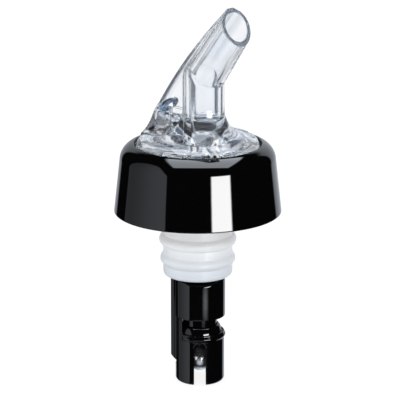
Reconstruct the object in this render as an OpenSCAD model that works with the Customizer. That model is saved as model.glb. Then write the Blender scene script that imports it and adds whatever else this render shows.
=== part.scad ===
// Measured pourer for a bottle neck: a clear angled spout on a black collar, a ribbed stopper,
// and a black tail that holds the ball valves. Millimetres, +Z up, +X towards the spout.
// The origin is on the stopper's axis, level with the lower end of the tail.

/* [Tail] */
// Turn of the tail about the stopper's axis, from the spout's direction
tail_turn = 47; // [0:1:90]
// Distance of the barrel's axis from the stopper's axis
barrel_offset = 0.55; // [0.3:0.05:0.6]
// Outer diameter of the barrel under the stopper
barrel_d = 13.4; // [12.6:0.1:14.6]
// Length of the barrel, from the side window to the stopper
barrel_len = 11.3; // [8:0.1:16]
// Wall of the barrel and of the neck inside the stopper
barrel_wall = 1.05; // [0.8:0.05:1.2]
// Growth in diameter from the barrel to the neck inside the stopper
neck_step = 1.2; // [1.2:0.1:1.8]
// Height of the side window between cage and barrel
window_h = 4.6; // [3.5:0.1:7]
// Thickness of the strut behind the side window
strut_t = 1.85; // [1.5:0.05:2.4]
// Radius of the saddle cut across the barrel's upper rim
saddle_r = 17; // [14:0.5:30]
// Depth of the saddle cut below the stopper
saddle_depth = 1.7; // [1:0.1:2.4]
// Distance of the saddle cut's ends from the barrel's sides
saddle_inset = 0.8; // [0.6:0.1:1.4]
// Height that the saddle's ports run up inside the stopper
saddle_rise = 0.6; // [0.2:0.1:1]

/* [Ball cage] */
// Loss of diameter from the barrel to the cage
cage_step = 0.5; // [0.2:0.1:1]
// Height of the cage, from its lower end to its rim
cage_h = 13.4; // [13.3:0.1:17]
// Diameter of the steel ball in the cage
cage_ball_d = 7.94; // [7.2:0.02:8.2]
// Clearance between that ball and the cage's bore, all round
cage_ball_gap = 0.4; // [0.3:0.05:0.5]
// Height of the ball's centre at rest
cage_ball_z = 6.5; // [6.2:0.1:6.8]
// Diameter of the lip that keeps the ball in
cage_lip_d = 6.6; // [6.2:0.1:6.8]
// Height of that lip's straight land
cage_lip_h = 0.8; // [0.4:0.1:1.2]
// Diameter of the cage's mouth at its lower end
cage_mouth_d = 9.6; // [9:0.1:10]
// Diameter of the port in the cage's roof
dump_port_d = 5; // [4:0.1:5.4]
// Thickness of the cage's roof
cage_roof_t = 1.5; // [1.2:0.1:2]
// Width of the slot across the cage
slot_w = 3.2; // [2.4:0.1:3.6]
// Height of the cage's roof over the slot's round top
slot_drop = 0.1; // [0:0.1:0.6]
// Rounding of the cage's lower edge
cage_edge_r = 1; // [0.4:0.1:1.2]
// Height of the dome between the cage's rim and the sleeve
dome_h = 2.3; // [1.6:0.1:3]
// Width of the flat ring on top of the dome
dome_land = 0.1; // [0.05:0.05:0.2]
// Thickness of the raised rim round the dome
cage_rim_t = 0.35; // [0.25:0.05:0.5]
// Radius of the round bead below that rim, in front of the strut
cage_bead_r = 0.6; // [0.4:0.05:0.8]
// Distance that the bead stands out from the cage
cage_bead_out = 0.35; // [0.2:0.05:0.5]

/* [Metering sleeve] */
// Outer diameter of the sleeve
sleeve_d = 9; // [8.6:0.1:9.4]
// Diameter of the steel ball that times the pour
meter_ball_d = 6.35; // [6:0.05:6.5]
// Clearance between that ball and the sleeve's bore, all round
meter_ball_gap = 0.4; // [0.25:0.05:0.45]
// Diameter of the hole in the sleeve's foot
sleeve_port_d = 4.6; // [4:0.1:5]
// Thickness of the sleeve's foot
sleeve_foot_t = 1.2; // [0.8:0.1:2]
// Depth that the sleeve sits in the cage's roof
sleeve_socket = 1.6; // [1:0.1:2]
// Number of flow ports round the sleeve's upper end
sleeve_ports = 4; // [3:1:6]
// Width of a flow port
sleeve_port_w = 2.4; // [1.6:0.1:3]
// Height of a flow port
sleeve_port_h = 6; // [3:0.5:10]
// Turn of the first flow port from the tail's direction
sleeve_port_turn = 45; // [0:5:90]

/* [Vent] */
// Outer diameter of the vent tube along the tail
vent_d = 2.4; // [2:0.05:2.4]
// Bore of the vent tube
vent_bore_d = 1.4; // [1:0.05:1.5]
// Distance of the vent tube's axis inside the barrel's radius
vent_inset = 0.75; // [0.7:0.05:0.8]
// Height of the vent tube's lower end
vent_z = 4.6; // [4:0.1:9]
// Slope of the vent tube's lower end
vent_slope = 45; // [30:1:60]
// Diameter of the steel ball in the vent
vent_ball_d = 2.38; // [2:0.02:2.5]
// Clearance between that ball and its bore, all round
vent_ball_gap = 0.35; // [0.25:0.05:0.4]
// Travel of that ball
vent_ball_travel = 2.2; // [1.5:0.1:2.4]
// Distance of the vent ball from the rim of the spout's base
vent_post_inset = 6.6; // [6.4:0.1:7.3]
// Outer diameter of the bush under the vent ball
bush_d = 3.8; // [3.6:0.05:4]
// Bore of the bush
bush_bore_d = 1.6; // [1.2:0.05:1.8]
// Height of the bush
bush_h = 1.8; // [1.2:0.1:2.2]
// Height of the air gallery over the stopper's flange
gallery_gap = 2.2; // [1.6:0.1:2.4]
// Width of the gallery past the bush
gallery_margin = 0.3; // [0.2:0.1:0.6]

/* [Stopper] */
// Length of the stopper
cork_len = 26.7; // [20:0.1:34]
// Diameter between the ribs
cork_d = 18.3; // [17:0.1:19.5]
// Diameter of the lowest rib
rib_d = 19.8; // [18.8:0.1:21]
// Growth in diameter from each rib to the next
rib_step = 0.6; // [0:0.1:0.8]
// Number of ribs
rib_count = 4; // [2:1:4]
// Distance from each rib to the next
rib_pitch = 5.2; // [4:0.1:5.4]
// Height of the lowest rib above the stopper's lower end
rib_first = 4.6; // [4:0.1:6]
// Rounding of a rib
rib_r = 1.5; // [1:0.1:1.8]
// Rounding of the stopper's lower edge
cork_edge_r = 1.2; // [0.4:0.1:1.6]
// Thickness of the stopper's flange under the spout's base
cork_flange_t = 1.2; // [0.8:0.1:1.6]
// Distance of that flange from the rim of the spout's base
cork_flange_inset = 0.5; // [0.3:0.1:1.5]

/* [Collar] */
// Diameter of the collar's lower rim
collar_d = 44; // [40:0.5:52]
// Diameter where the shoulder starts
collar_top_d = 40.9; // [39:0.1:43]
// Height of the drafted side, from the lower rim to the shoulder
collar_side_h = 14; // [12.5:0.1:17]
// Rounding of the shoulder
shoulder_r = 4.6; // [4:0.1:5]
// Diameter of the lip's opening round the spout's base
lip_d = 33.6; // [33.2:0.1:34.6]
// Depth of the lip's bevel
lip_depth = 1.2; // [0.6:0.1:2]
// Wall of the skirt
collar_wall = 1.9; // [1.4:0.1:2.6]
// Depth of the skirt's hollow, where the bottle's finish goes
skirt_depth = 9.5; // [8:0.1:11]
// Thickness of the web that carries the spout
web_t = 2.2; // [1.6:0.1:3]

/* [Spout] */
// Diameter of the spout's base
base_d = 32.4; // [31.6:0.1:32.6]
// Height of the base, from the stopper's flange to its flat top
base_h = 7.2; // [7:0.1:9]
// Rounding of the base's rim
base_edge_r = 2.6; // [1:0.1:3]
// Outer diameter of the upright neck
spout_neck_d = 10.9; // [10.2:0.1:11.4]
// Bore of the upright neck
spout_bore_d = 7.8; // [7:0.1:8]
// Distance of the neck's axis in front of the stopper's axis
spout_neck_x = 2.2; // [1.8:0.1:2.4]
// Radius of the flare from the neck to the base
flare_r = 8; // [5:0.1:9]
// Height of the bend above the base's flat top
bend_h = 16.1; // [13:0.1:20]
// Lean of the pouring tube from upright
tube_lean = 38.5; // [34:0.5:42]
// Length of the pouring tube's axis, from the bend to the mouth
tube_len = 19.6; // [15:0.1:28]
// Outer diameter of the mouth
mouth_d = 9.2; // [8.8:0.05:10]
// Bore of the pouring tube
tube_bore_d = 7; // [6.4:0.1:7.2]
// Lean of the mouth's cut from upright
mouth_lean = 64; // [56:0.5:70]
// Thickness of the fin behind the spout
fin_t = 2.6; // [2:0.1:3]
// Rise of the fin's ridge over the tube's back at the mouth
ridge_rise = 0.2; // [0:0.05:0.8]
// Radius of the ridge's long curve
ridge_r = 150; // [80:5:400]
// Height of the ridge above the base's flat top, at the base's rim
ridge_foot_h = 3.4; // [2.5:0.1:5]
// Radius of the fillets at the fin's foot
foot_fillet_r = 6.5; // [4:0.1:8]
// Distance of the fin's foot from the base's rim
foot_inset = 0.4; // [0.1:0.1:1.2]
// Length of the vent opening through the fin
vent_slot_len = 7.2; // [4:0.1:7.4]
// Width of the vent opening
vent_slot_w = 2.4; // [1.6:0.1:2.6]
// Slope of the vent opening
vent_slot_slope = 35; // [20:1:45]
// Height of the vent opening above the base's flat top
vent_slot_h = 6.8; // [5.2:0.1:7.2]
// Diameter of the spout's passage at the timing ball's seat
spout_seat_d = 5.8; // [5:0.1:5.9]
// Height of the cone that leads up to that seat
seat_cone_h = 2.4; // [1.6:0.1:3]
// Length of the spigot below the web
spigot_len = 5.7; // [4:0.1:8]
// Depth that the spigot sits in the tail's neck
spigot_grip = 2.7; // [2:0.1:3.5]
// Depth that the sleeve sits in the spigot
spigot_socket = 2; // [1.5:0.1:3]

/* [Clearances] */
// Radial gap between two pieces that are pressed together
press_gap = 0.05; // [0.03:0.01:0.08]
// Gap left between a ball and its seat
seat_gap = 0.04; // [0.02:0.01:0.06]

/* [Hidden] */
$fn = 96;
// Overlap of cutting tools past the faces that they open
cut = 1;

// Levels from the lower end of the tail upwards
window_top = cage_h + window_h;
cork_z = window_top + barrel_len;
web_z = cork_z + cork_len;
web_top = web_z + web_t;
deck_z = web_top + cork_flange_t;
collar_z = web_z - skirt_depth;
shoulder_z = collar_z + collar_side_h;
lip_z = shoulder_z + shoulder_r;
base_top = deck_z + base_h;
bend_z = base_top + bend_h;

// Radii of the tail, of the balls and of their seats
barrel_r = barrel_d / 2;
neck_r = barrel_r + neck_step / 2;
barrel_bore_r = barrel_r - barrel_wall;
cage_r = barrel_r - cage_step / 2;
window_depth = cage_r - strut_t;
saddle_half_w = barrel_r - saddle_inset;
cage_ball_r = cage_ball_d / 2;
cage_bore_r = cage_ball_r + cage_ball_gap;
cage_lip_r = cage_lip_d / 2;
meter_ball_r = meter_ball_d / 2;
sleeve_r = sleeve_d / 2;
sleeve_bore_r = meter_ball_r + meter_ball_gap;
sleeve_socket_r = sleeve_r + press_gap;
vent_r = barrel_r - vent_inset;
vent_tube_r = vent_d / 2;
vent_groove_r = vent_tube_r + press_gap;
vent_ball_r = vent_ball_d / 2;
vent_post_bore_r = vent_ball_r + vent_ball_gap;
bush_r = bush_d / 2;
vent_post_r = base_d / 2 - vent_post_inset;
cork_r = cork_d / 2;
cork_flange_r = base_d / 2 - cork_flange_inset;

// Distance from a round edge to the centre of a ball that sits on it
function seat_rise(ball_r, edge_r) = sqrt(ball_r * ball_r - edge_r * edge_r);

// Seats in the cage, the sleeve and the vent
cage_lip_z = cage_ball_z - seat_rise(cage_ball_r, cage_lip_r) - seat_gap;
cage_roof_z = cage_h - cage_roof_t;
slot_top = cage_roof_z - slot_drop;
sleeve_z = cage_h + dome_h - sleeve_socket;
sleeve_seat_z = sleeve_z + sleeve_foot_t;
meter_ball_z = sleeve_seat_z + seat_rise(meter_ball_r, sleeve_port_d / 2) + seat_gap;
spigot_z = web_z - spigot_len;
neck_top = spigot_z + spigot_grip;
sleeve_top = spigot_z + spigot_socket;
sleeve_len = sleeve_top - sleeve_z;
gallery_top = deck_z + gallery_gap;
gallery_r = vent_post_r + bush_r + gallery_margin;
vent_seat_z = gallery_top + bush_h;
vent_ball_z = vent_seat_z + seat_rise(vent_ball_r, bush_bore_d / 2) + seat_gap;
vent_post_top = vent_ball_z + vent_ball_r + vent_ball_travel + seat_gap;
spout_seat_z = sleeve_top + seat_cone_h;

// Directions in the spout's plane, as [x, z]
function lean_dir(a) = [sin(a), cos(a)];
function back_dir(a) = [-cos(a), sin(a)];
bend = [spout_neck_x, bend_z];
mouth = bend + tube_len * lean_dir(tube_lean);
// Loss of diameter for each millimetre of the tube
tube_taper = (spout_neck_d - mouth_d) / tube_len;
// End of the tube before its mouth is cut on the slant
tube_end = mouth + mouth_d * lean_dir(tube_lean);
ridge_top = mouth + (mouth_d / 2 + ridge_rise) * back_dir(tube_lean);
ridge_foot = [-base_d / 2, base_top + ridge_foot_h];
// Segments of the ridge's long curve
ridge_steps = 720;
// Width of the air slit in the fin
vent_slit_w = fin_t / 2;

// Centre of a circle of radius r through two points, on the right of the way from a to b
function arc_centre(a, b, r) =
    let (mid = (a + b) / 2, half = (b - a) / 2, off = sqrt(r * r - half * half) / norm(half))
    mid + off * [half[1], -half[0]];

// Places children in the tail's own axes
module in_tail() {
    rotate([0, 0, tail_turn]) children();
}

// Places children on the barrel's axis, at a height
module on_barrel(z = 0) {
    in_tail() translate([barrel_offset, 0, z]) children();
}

// Stands a drawing of the spout's plane upright, with a thickness across that plane
module upright(t) {
    rotate([90, 0, 0]) linear_extrude(height = t, center = true) children();
}

// Slot of a length and a width with round ends, centred
module slot_2d(len, w) {
    square([len - w, w], center = true);
    for (side = [-1, 1]) translate([side * (len - w) / 2, 0]) circle(d = w);
}

// Section of the collar from the axis outwards, above the web
module collar_section() {
    outer_r = collar_d / 2;
    top_r = collar_top_d / 2;
    lip_r = lip_d / 2;
    round_x = top_r - shoulder_r;
    reach = [outer_r - round_x, collar_z - shoulder_z];
    lean = atan2(reach.y, reach.x) + acos(shoulder_r / norm(reach));
    side_top = [round_x + shoulder_r * cos(lean), shoulder_z + shoulder_r * sin(lean)];
    difference() {
        union() {
            polygon([[0, collar_z], [outer_r, collar_z], side_top, [0, side_top.y]]);
            translate([0, shoulder_z]) square([round_x, shoulder_r]);
            intersection() {
                translate([round_x, shoulder_z]) circle(r = shoulder_r);
                translate([0, side_top.y]) square([top_r, shoulder_r]);
            }
        }
        draft = (outer_r - top_r) / collar_side_h;
        skirt_r = outer_r - collar_wall;
        polygon([[-cut, collar_z - cut], [skirt_r + draft * cut, collar_z - cut],
                 [skirt_r - draft * skirt_depth, web_z], [-cut, web_z]]);
        translate([-cut, web_top]) square([cut + base_d / 2 + press_gap, lip_z]);
        polygon([[0, lip_z - lip_depth], [base_d / 2 + press_gap, lip_z - lip_depth],
                 [lip_r, lip_z], [lip_r, lip_z + cut], [0, lip_z + cut]]);
        square([cork_r + press_gap, lip_z]);
    }
}

// Section of the stopper from the axis outwards
module cork_section() {
    edge = cork_edge_r;
    difference() {
        union() {
            translate([0, cork_z + edge]) square([cork_r, deck_z - cork_z - edge]);
            translate([0, cork_z]) square([cork_r - edge, cork_len]);
            translate([cork_r - edge, cork_z + edge]) circle(r = edge);
            translate([0, web_top]) square([cork_flange_r, cork_flange_t]);
            for (i = [0 : rib_count - 1])
                translate([(rib_d + i * rib_step) / 2 - rib_r, cork_z + rib_first + i * rib_pitch])
                    circle(r = rib_r);
        }
        translate([-cut, cork_z - cut]) square([cut + neck_r + press_gap, deck_z - cork_z + 2 * cut]);
    }
}

// Hollow of the cage from the axis outwards: mouth, lip, ball space and port
module cage_hollow_section() {
    lip_top = cage_lip_z;
    lip_bottom = cage_lip_z - cage_lip_h;
    ramp = cage_bore_r - cage_lip_r;
    polygon([[0, -cut], [cage_mouth_d / 2, -cut], [cage_mouth_d / 2, 0], [cage_lip_r, lip_bottom],
             [cage_lip_r, lip_top], [cage_bore_r, lip_top + ramp], [cage_bore_r, cage_roof_z],
             [dump_port_d / 2, cage_roof_z], [dump_port_d / 2, sleeve_z + cut], [0, sleeve_z + cut]]);
}

// Outside of the cage from the axis outwards: rounded foot, rim and dome
module cage_section() {
    dome_r = cage_r - 2 * cage_rim_t;
    dome_top_r = sleeve_socket_r + dome_land;
    translate([0, cage_edge_r]) square([cage_r, cage_h - cage_edge_r]);
    square([cage_r - cage_edge_r, cage_h]);
    translate([cage_r - cage_edge_r, cage_edge_r]) circle(r = cage_edge_r);
    translate([cage_r - cage_rim_t, cage_h - cut]) square([cage_rim_t, cut + cage_rim_t]);
    square([dome_top_r, cage_h + dome_h]);
    intersection() {
        translate([dome_top_r, cage_h]) scale_ellipse(dome_r - dome_top_r, dome_h);
        translate([0, cage_h]) square([dome_r, dome_h]);
    }
}

// Ellipse with two half axes, as points on its curve
module scale_ellipse(a, b, steps = 48) {
    polygon([for (i = [0 : steps - 1]) [a * cos(360 * i / steps), b * sin(360 * i / steps)]]);
}

module collar() {
    color("#101114") rotate_extrude() collar_section();
}

module cork() {
    color("#e4e9ee") rotate_extrude() cork_section();
}

// Neck, barrel, strut and cage, before their hollows are cut
module tail_solid() {
    translate([0, 0, cork_z]) cylinder(r = neck_r, h = neck_top - cork_z);
    translate([barrel_offset, 0, window_top]) cylinder(r = barrel_r, h = barrel_len);
    translate([barrel_offset, 0, 0]) {
        rotate_extrude() cage_section();
        cage_bead();
        difference() {
            translate([0, 0, cage_h - cut]) cylinder(r = cage_r, h = window_h + 2 * cut);
            translate([-window_depth, -barrel_d, cage_h - 2 * cut])
                cube([2 * barrel_d, 2 * barrel_d, cage_h]);
        }
    }
}

module tail_body() {
    color("#131418") in_tail() difference() {
        tail_solid();
        translate([barrel_offset, 0, 0]) {
            rotate_extrude() cage_hollow_section();
            translate([0, 0, sleeve_z]) cylinder(r = sleeve_socket_r, h = cage_h);
            translate([0, 0, cage_h + dome_h + cut]) cylinder(r = barrel_bore_r, h = neck_top);
            saddle_cut();
            cage_slot();
        }
        translate([-vent_r, 0, vent_z]) cylinder(r = vent_groove_r, h = neck_top);
    }
}

// Round bead below the cage's rim, from one edge of the strut to the other
module cage_bead() {
    intersection() {
        rotate_extrude() translate([cage_r + cage_bead_out - cage_bead_r, cage_h - cage_bead_r])
            circle(r = cage_bead_r);
        translate([-window_depth, -barrel_d, 0]) cube([2 * barrel_d, 2 * barrel_d, cage_h]);
    }
}

// Lens-shaped flow ports under the stopper, front and back
module saddle_cut() {
    port_top = cork_z + saddle_rise;
    intersection() {
        translate([0, 0, cork_z - saddle_depth + saddle_r]) rotate([90, 0, 0])
            cylinder(r = saddle_r, h = 2 * barrel_d, center = true);
        translate([-saddle_half_w, -barrel_d, 0]) cube([2 * saddle_half_w, 2 * barrel_d, port_top]);
    }
}

// Slot right across the cage, open below, with a round top
module cage_slot() {
    upright(4 * cage_r) {
        translate([-slot_w / 2, -cut]) square([slot_w, cut + slot_top - slot_w / 2]);
        translate([0, slot_top - slot_w / 2]) circle(d = slot_w);
    }
}

module metering_sleeve() {
    color("#1a1b1f") on_barrel() difference() {
        translate([0, 0, sleeve_z]) cylinder(r = sleeve_r, h = sleeve_len);
        translate([0, 0, sleeve_seat_z]) cylinder(r = sleeve_bore_r, h = sleeve_len);
        translate([0, 0, sleeve_z - cut]) cylinder(d = sleeve_port_d, h = sleeve_len);
        for (i = [0 : sleeve_ports - 1])
            rotate([0, 0, sleeve_port_turn + 360 * i / sleeve_ports])
                translate([0, -sleeve_port_w / 2, spigot_z - sleeve_port_h])
                    cube([sleeve_d, sleeve_port_w, sleeve_port_h]);
    }
}

module vent_tube() {
    color("#17181c") in_tail() translate([-vent_r, 0, 0]) difference() {
        translate([0, 0, vent_z]) cylinder(r = vent_tube_r, h = neck_top - vent_z);
        translate([0, 0, vent_z - cut]) cylinder(d = vent_bore_d, h = neck_top);
        translate([vent_tube_r, 0, vent_z]) rotate([0, vent_slope, 0])
            translate([-4 * vent_d, -vent_d, -2 * vent_d]) cube([4 * vent_d, 2 * vent_d, 2 * vent_d]);
    }
}

module vent_bush() {
    color("#d8dde2") translate([-vent_post_r, 0, gallery_top]) difference() {
        cylinder(r = bush_r, h = bush_h);
        translate([0, 0, -cut]) cylinder(d = bush_bore_d, h = bush_h + 2 * cut);
    }
}

module metering_ball() {
    color("#c9ccd0") on_barrel(meter_ball_z) sphere(r = meter_ball_r);
}

module cage_ball() {
    color("#c9ccd0") on_barrel(cage_ball_z) sphere(r = cage_ball_r);
}

module vent_ball() {
    color("#c9ccd0") translate([-vent_post_r, 0, vent_ball_z]) sphere(r = vent_ball_r);
}

// Round base of the spout with a rounded rim
module spout_base() {
    rim_r = base_d / 2;
    rotate_extrude() {
        translate([0, deck_z]) square([rim_r, base_h - base_edge_r]);
        translate([0, deck_z]) square([rim_r - base_edge_r, base_h]);
        translate([rim_r - base_edge_r, base_top - base_edge_r]) circle(r = base_edge_r);
    }
}

// Concave flare between the neck and the base, kept inside the base's rim
module spout_flare() {
    foot_r = spout_neck_d / 2 + flare_r;
    intersection() {
        translate([spout_neck_x, 0, 0]) rotate_extrude() difference() {
            translate([0, base_top - cut]) square([foot_r, flare_r + cut]);
            translate([foot_r, base_top + flare_r]) circle(r = flare_r);
        }
        translate([0, 0, deck_z]) cylinder(r = base_d / 2 - base_edge_r, h = 3 * flare_r);
    }
}

// Outline of the fin in the spout's plane, from the mouth down to the base's rim
module fin_outline() {
    ridge_centre = arc_centre(ridge_foot, ridge_top, ridge_r);
    intersection() {
        translate(ridge_centre) circle(r = ridge_r, $fn = ridge_steps);
        polygon([bend, tube_end, [ridge_foot[0], tube_end[1]], [ridge_foot[0], deck_z + cut],
                 [0, deck_z + cut]]);
    }
}

// Flat fin behind the spout, with a foot that spreads into the base in two fillets
module spout_fin() {
    foot_half_w = fin_t / 2 + foot_fillet_r;
    upright(fin_t) fin_outline();
    intersection() {
        upright(2 * foot_half_w) fin_outline();
        translate([0, 0, deck_z]) cylinder(r = base_d / 2 - foot_inset, h = base_h + foot_fillet_r);
        translate([-base_d / 2, 0, base_top - base_edge_r]) rotate([90, 0, 90])
            linear_extrude(height = base_d / 2) difference() {
                translate([-foot_half_w, 0]) square([2 * foot_half_w, base_edge_r + foot_fillet_r]);
                for (side = [-1, 1])
                    translate([side * foot_half_w, base_edge_r + foot_fillet_r]) circle(r = foot_fillet_r);
            }
    }
}

module pour_spout() {
    color("#dfe8ef", 0.6) difference() {
        union() {
            spout_base();
            spout_flare();
            translate([spout_neck_x, 0, deck_z]) cylinder(d = spout_neck_d, h = bend_z - deck_z);
            translate([bend[0], 0, bend[1]]) sphere(d = spout_neck_d);
            translate([bend[0], 0, bend[1]]) rotate([0, tube_lean, 0])
                cylinder(d1 = spout_neck_d, d2 = mouth_d - tube_taper * mouth_d, h = tube_len + mouth_d);
            spout_fin();
            on_barrel(spigot_z) cylinder(r = barrel_bore_r - press_gap, h = deck_z - spigot_z + cut);
        }
        translate([mouth[0], 0, mouth[1]]) rotate([0, mouth_lean, 0])
            translate([-tube_len, -tube_len, 0]) cube([2 * tube_len, 2 * tube_len, tube_len]);
        spout_passage();
        spout_vent();
    }
}

// Way of the drink through the spout: socket for the sleeve, ball seat, neck bore and tube bore
module spout_passage() {
    on_barrel() rotate_extrude() polygon([
        [0, spigot_z - cut], [sleeve_socket_r, spigot_z - cut], [sleeve_socket_r, sleeve_top],
        [sleeve_bore_r, sleeve_top], [spout_seat_d / 2, spout_seat_z],
        [spout_seat_d / 2, gallery_top + cut], [0, gallery_top + cut]]);
    translate([spout_neck_x, 0, gallery_top]) cylinder(d = spout_bore_d, h = bend_z - gallery_top);
    translate([bend[0], 0, bend[1]]) sphere(d = spout_bore_d);
    translate([bend[0], 0, bend[1]]) rotate([0, tube_lean, 0]) cylinder(d = tube_bore_d, h = 2 * tube_len);
}

// Way of the air through the base: gallery, ball chamber, slit and the opening in the fin
module spout_vent() {
    in_tail() translate([-vent_r, 0, spigot_z - cut])
        cylinder(r = vent_groove_r, h = gallery_top - spigot_z + cut);
    difference() {
        translate([0, 0, deck_z - cut]) cylinder(r = gallery_r, h = gallery_top - deck_z + cut);
        on_barrel(spigot_z) cylinder(r = barrel_bore_r - press_gap, h = gallery_top);
    }
    translate([-vent_post_r, 0, gallery_top - cut]) cylinder(r = bush_r + press_gap, h = cut + bush_h);
    translate([-vent_post_r, 0, gallery_top])
        cylinder(r = vent_post_bore_r, h = vent_post_top - gallery_top);
    translate([-vent_post_r, 0, base_top + vent_slot_h]) {
        rotate([0, -vent_slot_slope, 0]) upright(4 * fin_t) slot_2d(vent_slot_len, vent_slot_w);
        slit_h = base_top + vent_slot_h - vent_post_top + cut;
        translate([-vent_slot_w / 2, -vent_slit_w / 2, -slit_h]) cube([vent_slot_w, vent_slit_w, slit_h]);
    }
}

pour_spout();
collar();
cork();
tail_body();
metering_sleeve();
vent_tube();
vent_bush();
metering_ball();
cage_ball();
vent_ball();
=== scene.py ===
"""Looks of a measured pourer: a clear spout, gloss black mouldings, a frosted stopper and steel balls.

Sizes are millimetres in the part's own frame, with +Z up and +X towards the mouth, until a mesh is made.
Places in a finish are metres, as Object coordinates are.
"""
import logging
import math
from dataclasses import dataclass, field
from enum import Enum
from functools import reduce
from typing import Any, Callable, Sequence

import bpy
import numpy as np
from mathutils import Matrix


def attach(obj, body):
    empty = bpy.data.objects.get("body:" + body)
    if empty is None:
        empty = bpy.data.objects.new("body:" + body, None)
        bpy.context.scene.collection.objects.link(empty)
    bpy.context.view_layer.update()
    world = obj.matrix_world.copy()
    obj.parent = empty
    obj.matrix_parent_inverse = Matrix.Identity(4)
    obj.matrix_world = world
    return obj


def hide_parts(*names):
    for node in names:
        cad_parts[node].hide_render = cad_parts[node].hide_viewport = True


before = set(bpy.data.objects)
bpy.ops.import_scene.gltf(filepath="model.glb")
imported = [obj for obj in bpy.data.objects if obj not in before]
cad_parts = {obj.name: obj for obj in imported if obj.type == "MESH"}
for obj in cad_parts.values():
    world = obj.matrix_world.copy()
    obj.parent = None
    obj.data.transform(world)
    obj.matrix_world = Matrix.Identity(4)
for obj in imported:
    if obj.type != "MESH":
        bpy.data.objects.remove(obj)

MM = 0.001
LOG = logging.getLogger("pourer")
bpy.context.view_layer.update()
UP = (0.0, 0.0, 1.0)
Array = np.ndarray
Solid = Callable[[Array], Array]
Pair = tuple[float, float]
Triple = tuple[float, float, float]

# Sizes that several pieces share

TAIL_TURN = math.radians(47)  # of the tail's front, from +X towards +Y
BARREL_OFFSET = 0.55  # of the barrel's axis from the stopper's, towards the tail's front
VENT_OFFSET = 5.95  # of the vent tube's axis from the stopper's, towards the tail's back
VENT_GROOVE_R = 1.25
VENT_LOW = 4.6
SLEEVE_LOW = 14.1
SLEEVE_TOP = 52.3
SLEEVE_BORE_R = 3.575
SLEEVE_SOCKET_R = 4.55
STOPPER_LOW = 29.3
TAIL_TOP = 53.0
WEB_TOP = 58.2
DECK_Z = 59.4
POST_X = -9.6  # of the vent ball's upright axis
GALLERY_TOP = 61.6
BUSH_TOP = 63.4

# How fine the meshes are

ARC_STEPS = 9  # points on the arc at a section's corner
MARGIN = (1.5, 2.5)  # cells of a grid beyond the lower and the upper end of its box
LONGEST_MOVE = 0.4  # of a point in one round, in cells
LEAST_SLOPE = 0.3  # squared, below which a point moves more slowly
TINY = 1e-9

# Which rounds even out the quads before the points move onto the skin
EVENED_ROUNDS = (False, False, True, False, True, False, True, False, False)


class Body(Enum):
    """Bodies of the frame, each of which carries some of the pieces."""

    POURER = "pourer"
    TIMING_BALL = "timing_ball"
    DUMP_BALL = "dump_ball"
    AIR_BALL = "air_ball"


def metres(*lengths: float) -> tuple[float, ...]:
    """Millimetres as metres."""
    return tuple(length * MM for length in lengths)


def on_tail(reach: float) -> Pair:
    """Level place at a distance from the stopper's axis, towards the tail's front."""
    return reach * math.cos(TAIL_TURN), reach * math.sin(TAIL_TURN)


# Fields: each is negative inside a solid, and about a distance near its surface

def union(*fields: Array) -> Array:
    """Union of fields without fillets: the lowest of them."""
    return reduce(np.minimum, fields)


def common(*fields: Array) -> Array:
    """What fields have in common, with sharp edges: the highest of them."""
    return reduce(np.maximum, fields)


def soft_min(a: Array, b: Array, k: float) -> Array:
    """Union of two fields with a fillet.

    The lower field, less h * h * k / 4 where h = max(k - |a - b|, 0) / k.

    Args:
        a: first field.
        b: second field.
        k: width over which the two are blended.
    Returns:
        The field of the union.
    """
    h = np.maximum(k - np.abs(a - b), 0.0) / k
    return np.minimum(a, b) - h * h * (k / 4)


def soft_max(a: Array, b: Array, k: float) -> Array:
    """What two fields have in common, with a rounded edge: the mirror image of soft_min."""
    return -soft_min(-a, -b, k)


def round_edge(a: Array, b: Array, r: float) -> Array:
    """What two square faces have in common, with a round edge.

    Both faces move in by r, and r is taken from the distance to the corner that they make there.

    Args:
        a: distance to the first face.
        b: distance to the second face.
        r: radius of the edge.
    Returns:
        The field of the rounded shape.
    """
    a, b = a + r, b + r
    return np.hypot(np.maximum(a, 0), np.maximum(b, 0)) + np.minimum(np.maximum(a, b), 0) - r


def cove(a: Array, b: Array, r: float) -> Array:
    """Fillet in the corner of two square faces: all within r of both, less a circle that touches them.

    Args:
        a: distance to the first face.
        b: distance to the second face.
        r: radius of the circle.
    Returns:
        The field of the fillet.
    """
    a, b = a - r, b - r
    return common(r - np.hypot(a, b), a, b)


def ball(p: Array, centre: Sequence[float], r: float) -> Array:
    """Distance to a sphere: the length from its centre, less its radius."""
    return np.linalg.norm(p - np.asarray(centre), axis=-1) - r


def upright_rod(p: Array, x: float, y: float, r: float) -> Array:
    """Distance to an endless upright cylinder: the level length from its axis, less its radius."""
    return np.hypot(p[..., 0] - x, p[..., 1] - y) - r


def between(v: Array, low: float, high: float) -> Array:
    """Distance to a slab: half the thickness taken from the distance to its middle."""
    return np.abs(v - (low + high) / 2) - (high - low) / 2


def gradient(solid: Solid, p: Array, step: float = 0.02) -> Array:
    """Slope of a field by central differences along the three axes.

    Args:
        solid: the field.
        p: points, as rows.
        step: half the distance between the two samples.
    Returns:
        One slope vector for each point.
    """
    shifts = step * np.eye(3)
    return np.stack([(solid(p + s) - solid(p - s)) / (2 * step) for s in shifts], -1)


# Skins of fields

def relaxed(points: Array, quads: Array) -> Array:
    """Points moved half way to the mean of their neighbours along the quads' edges.

    Args:
        points: places, as rows.
        quads: rows of four point numbers.
    Returns:
        The new places.
    """
    ends = np.concatenate([quads, quads]).ravel()
    others = np.concatenate([np.roll(quads, 1, 1), np.roll(quads, -1, 1)]).ravel()
    total = np.stack([np.bincount(ends, points[others, i], len(points)) for i in range(3)], -1)
    return (points + total / np.bincount(ends, minlength=len(points))[:, None]) / 2


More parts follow.
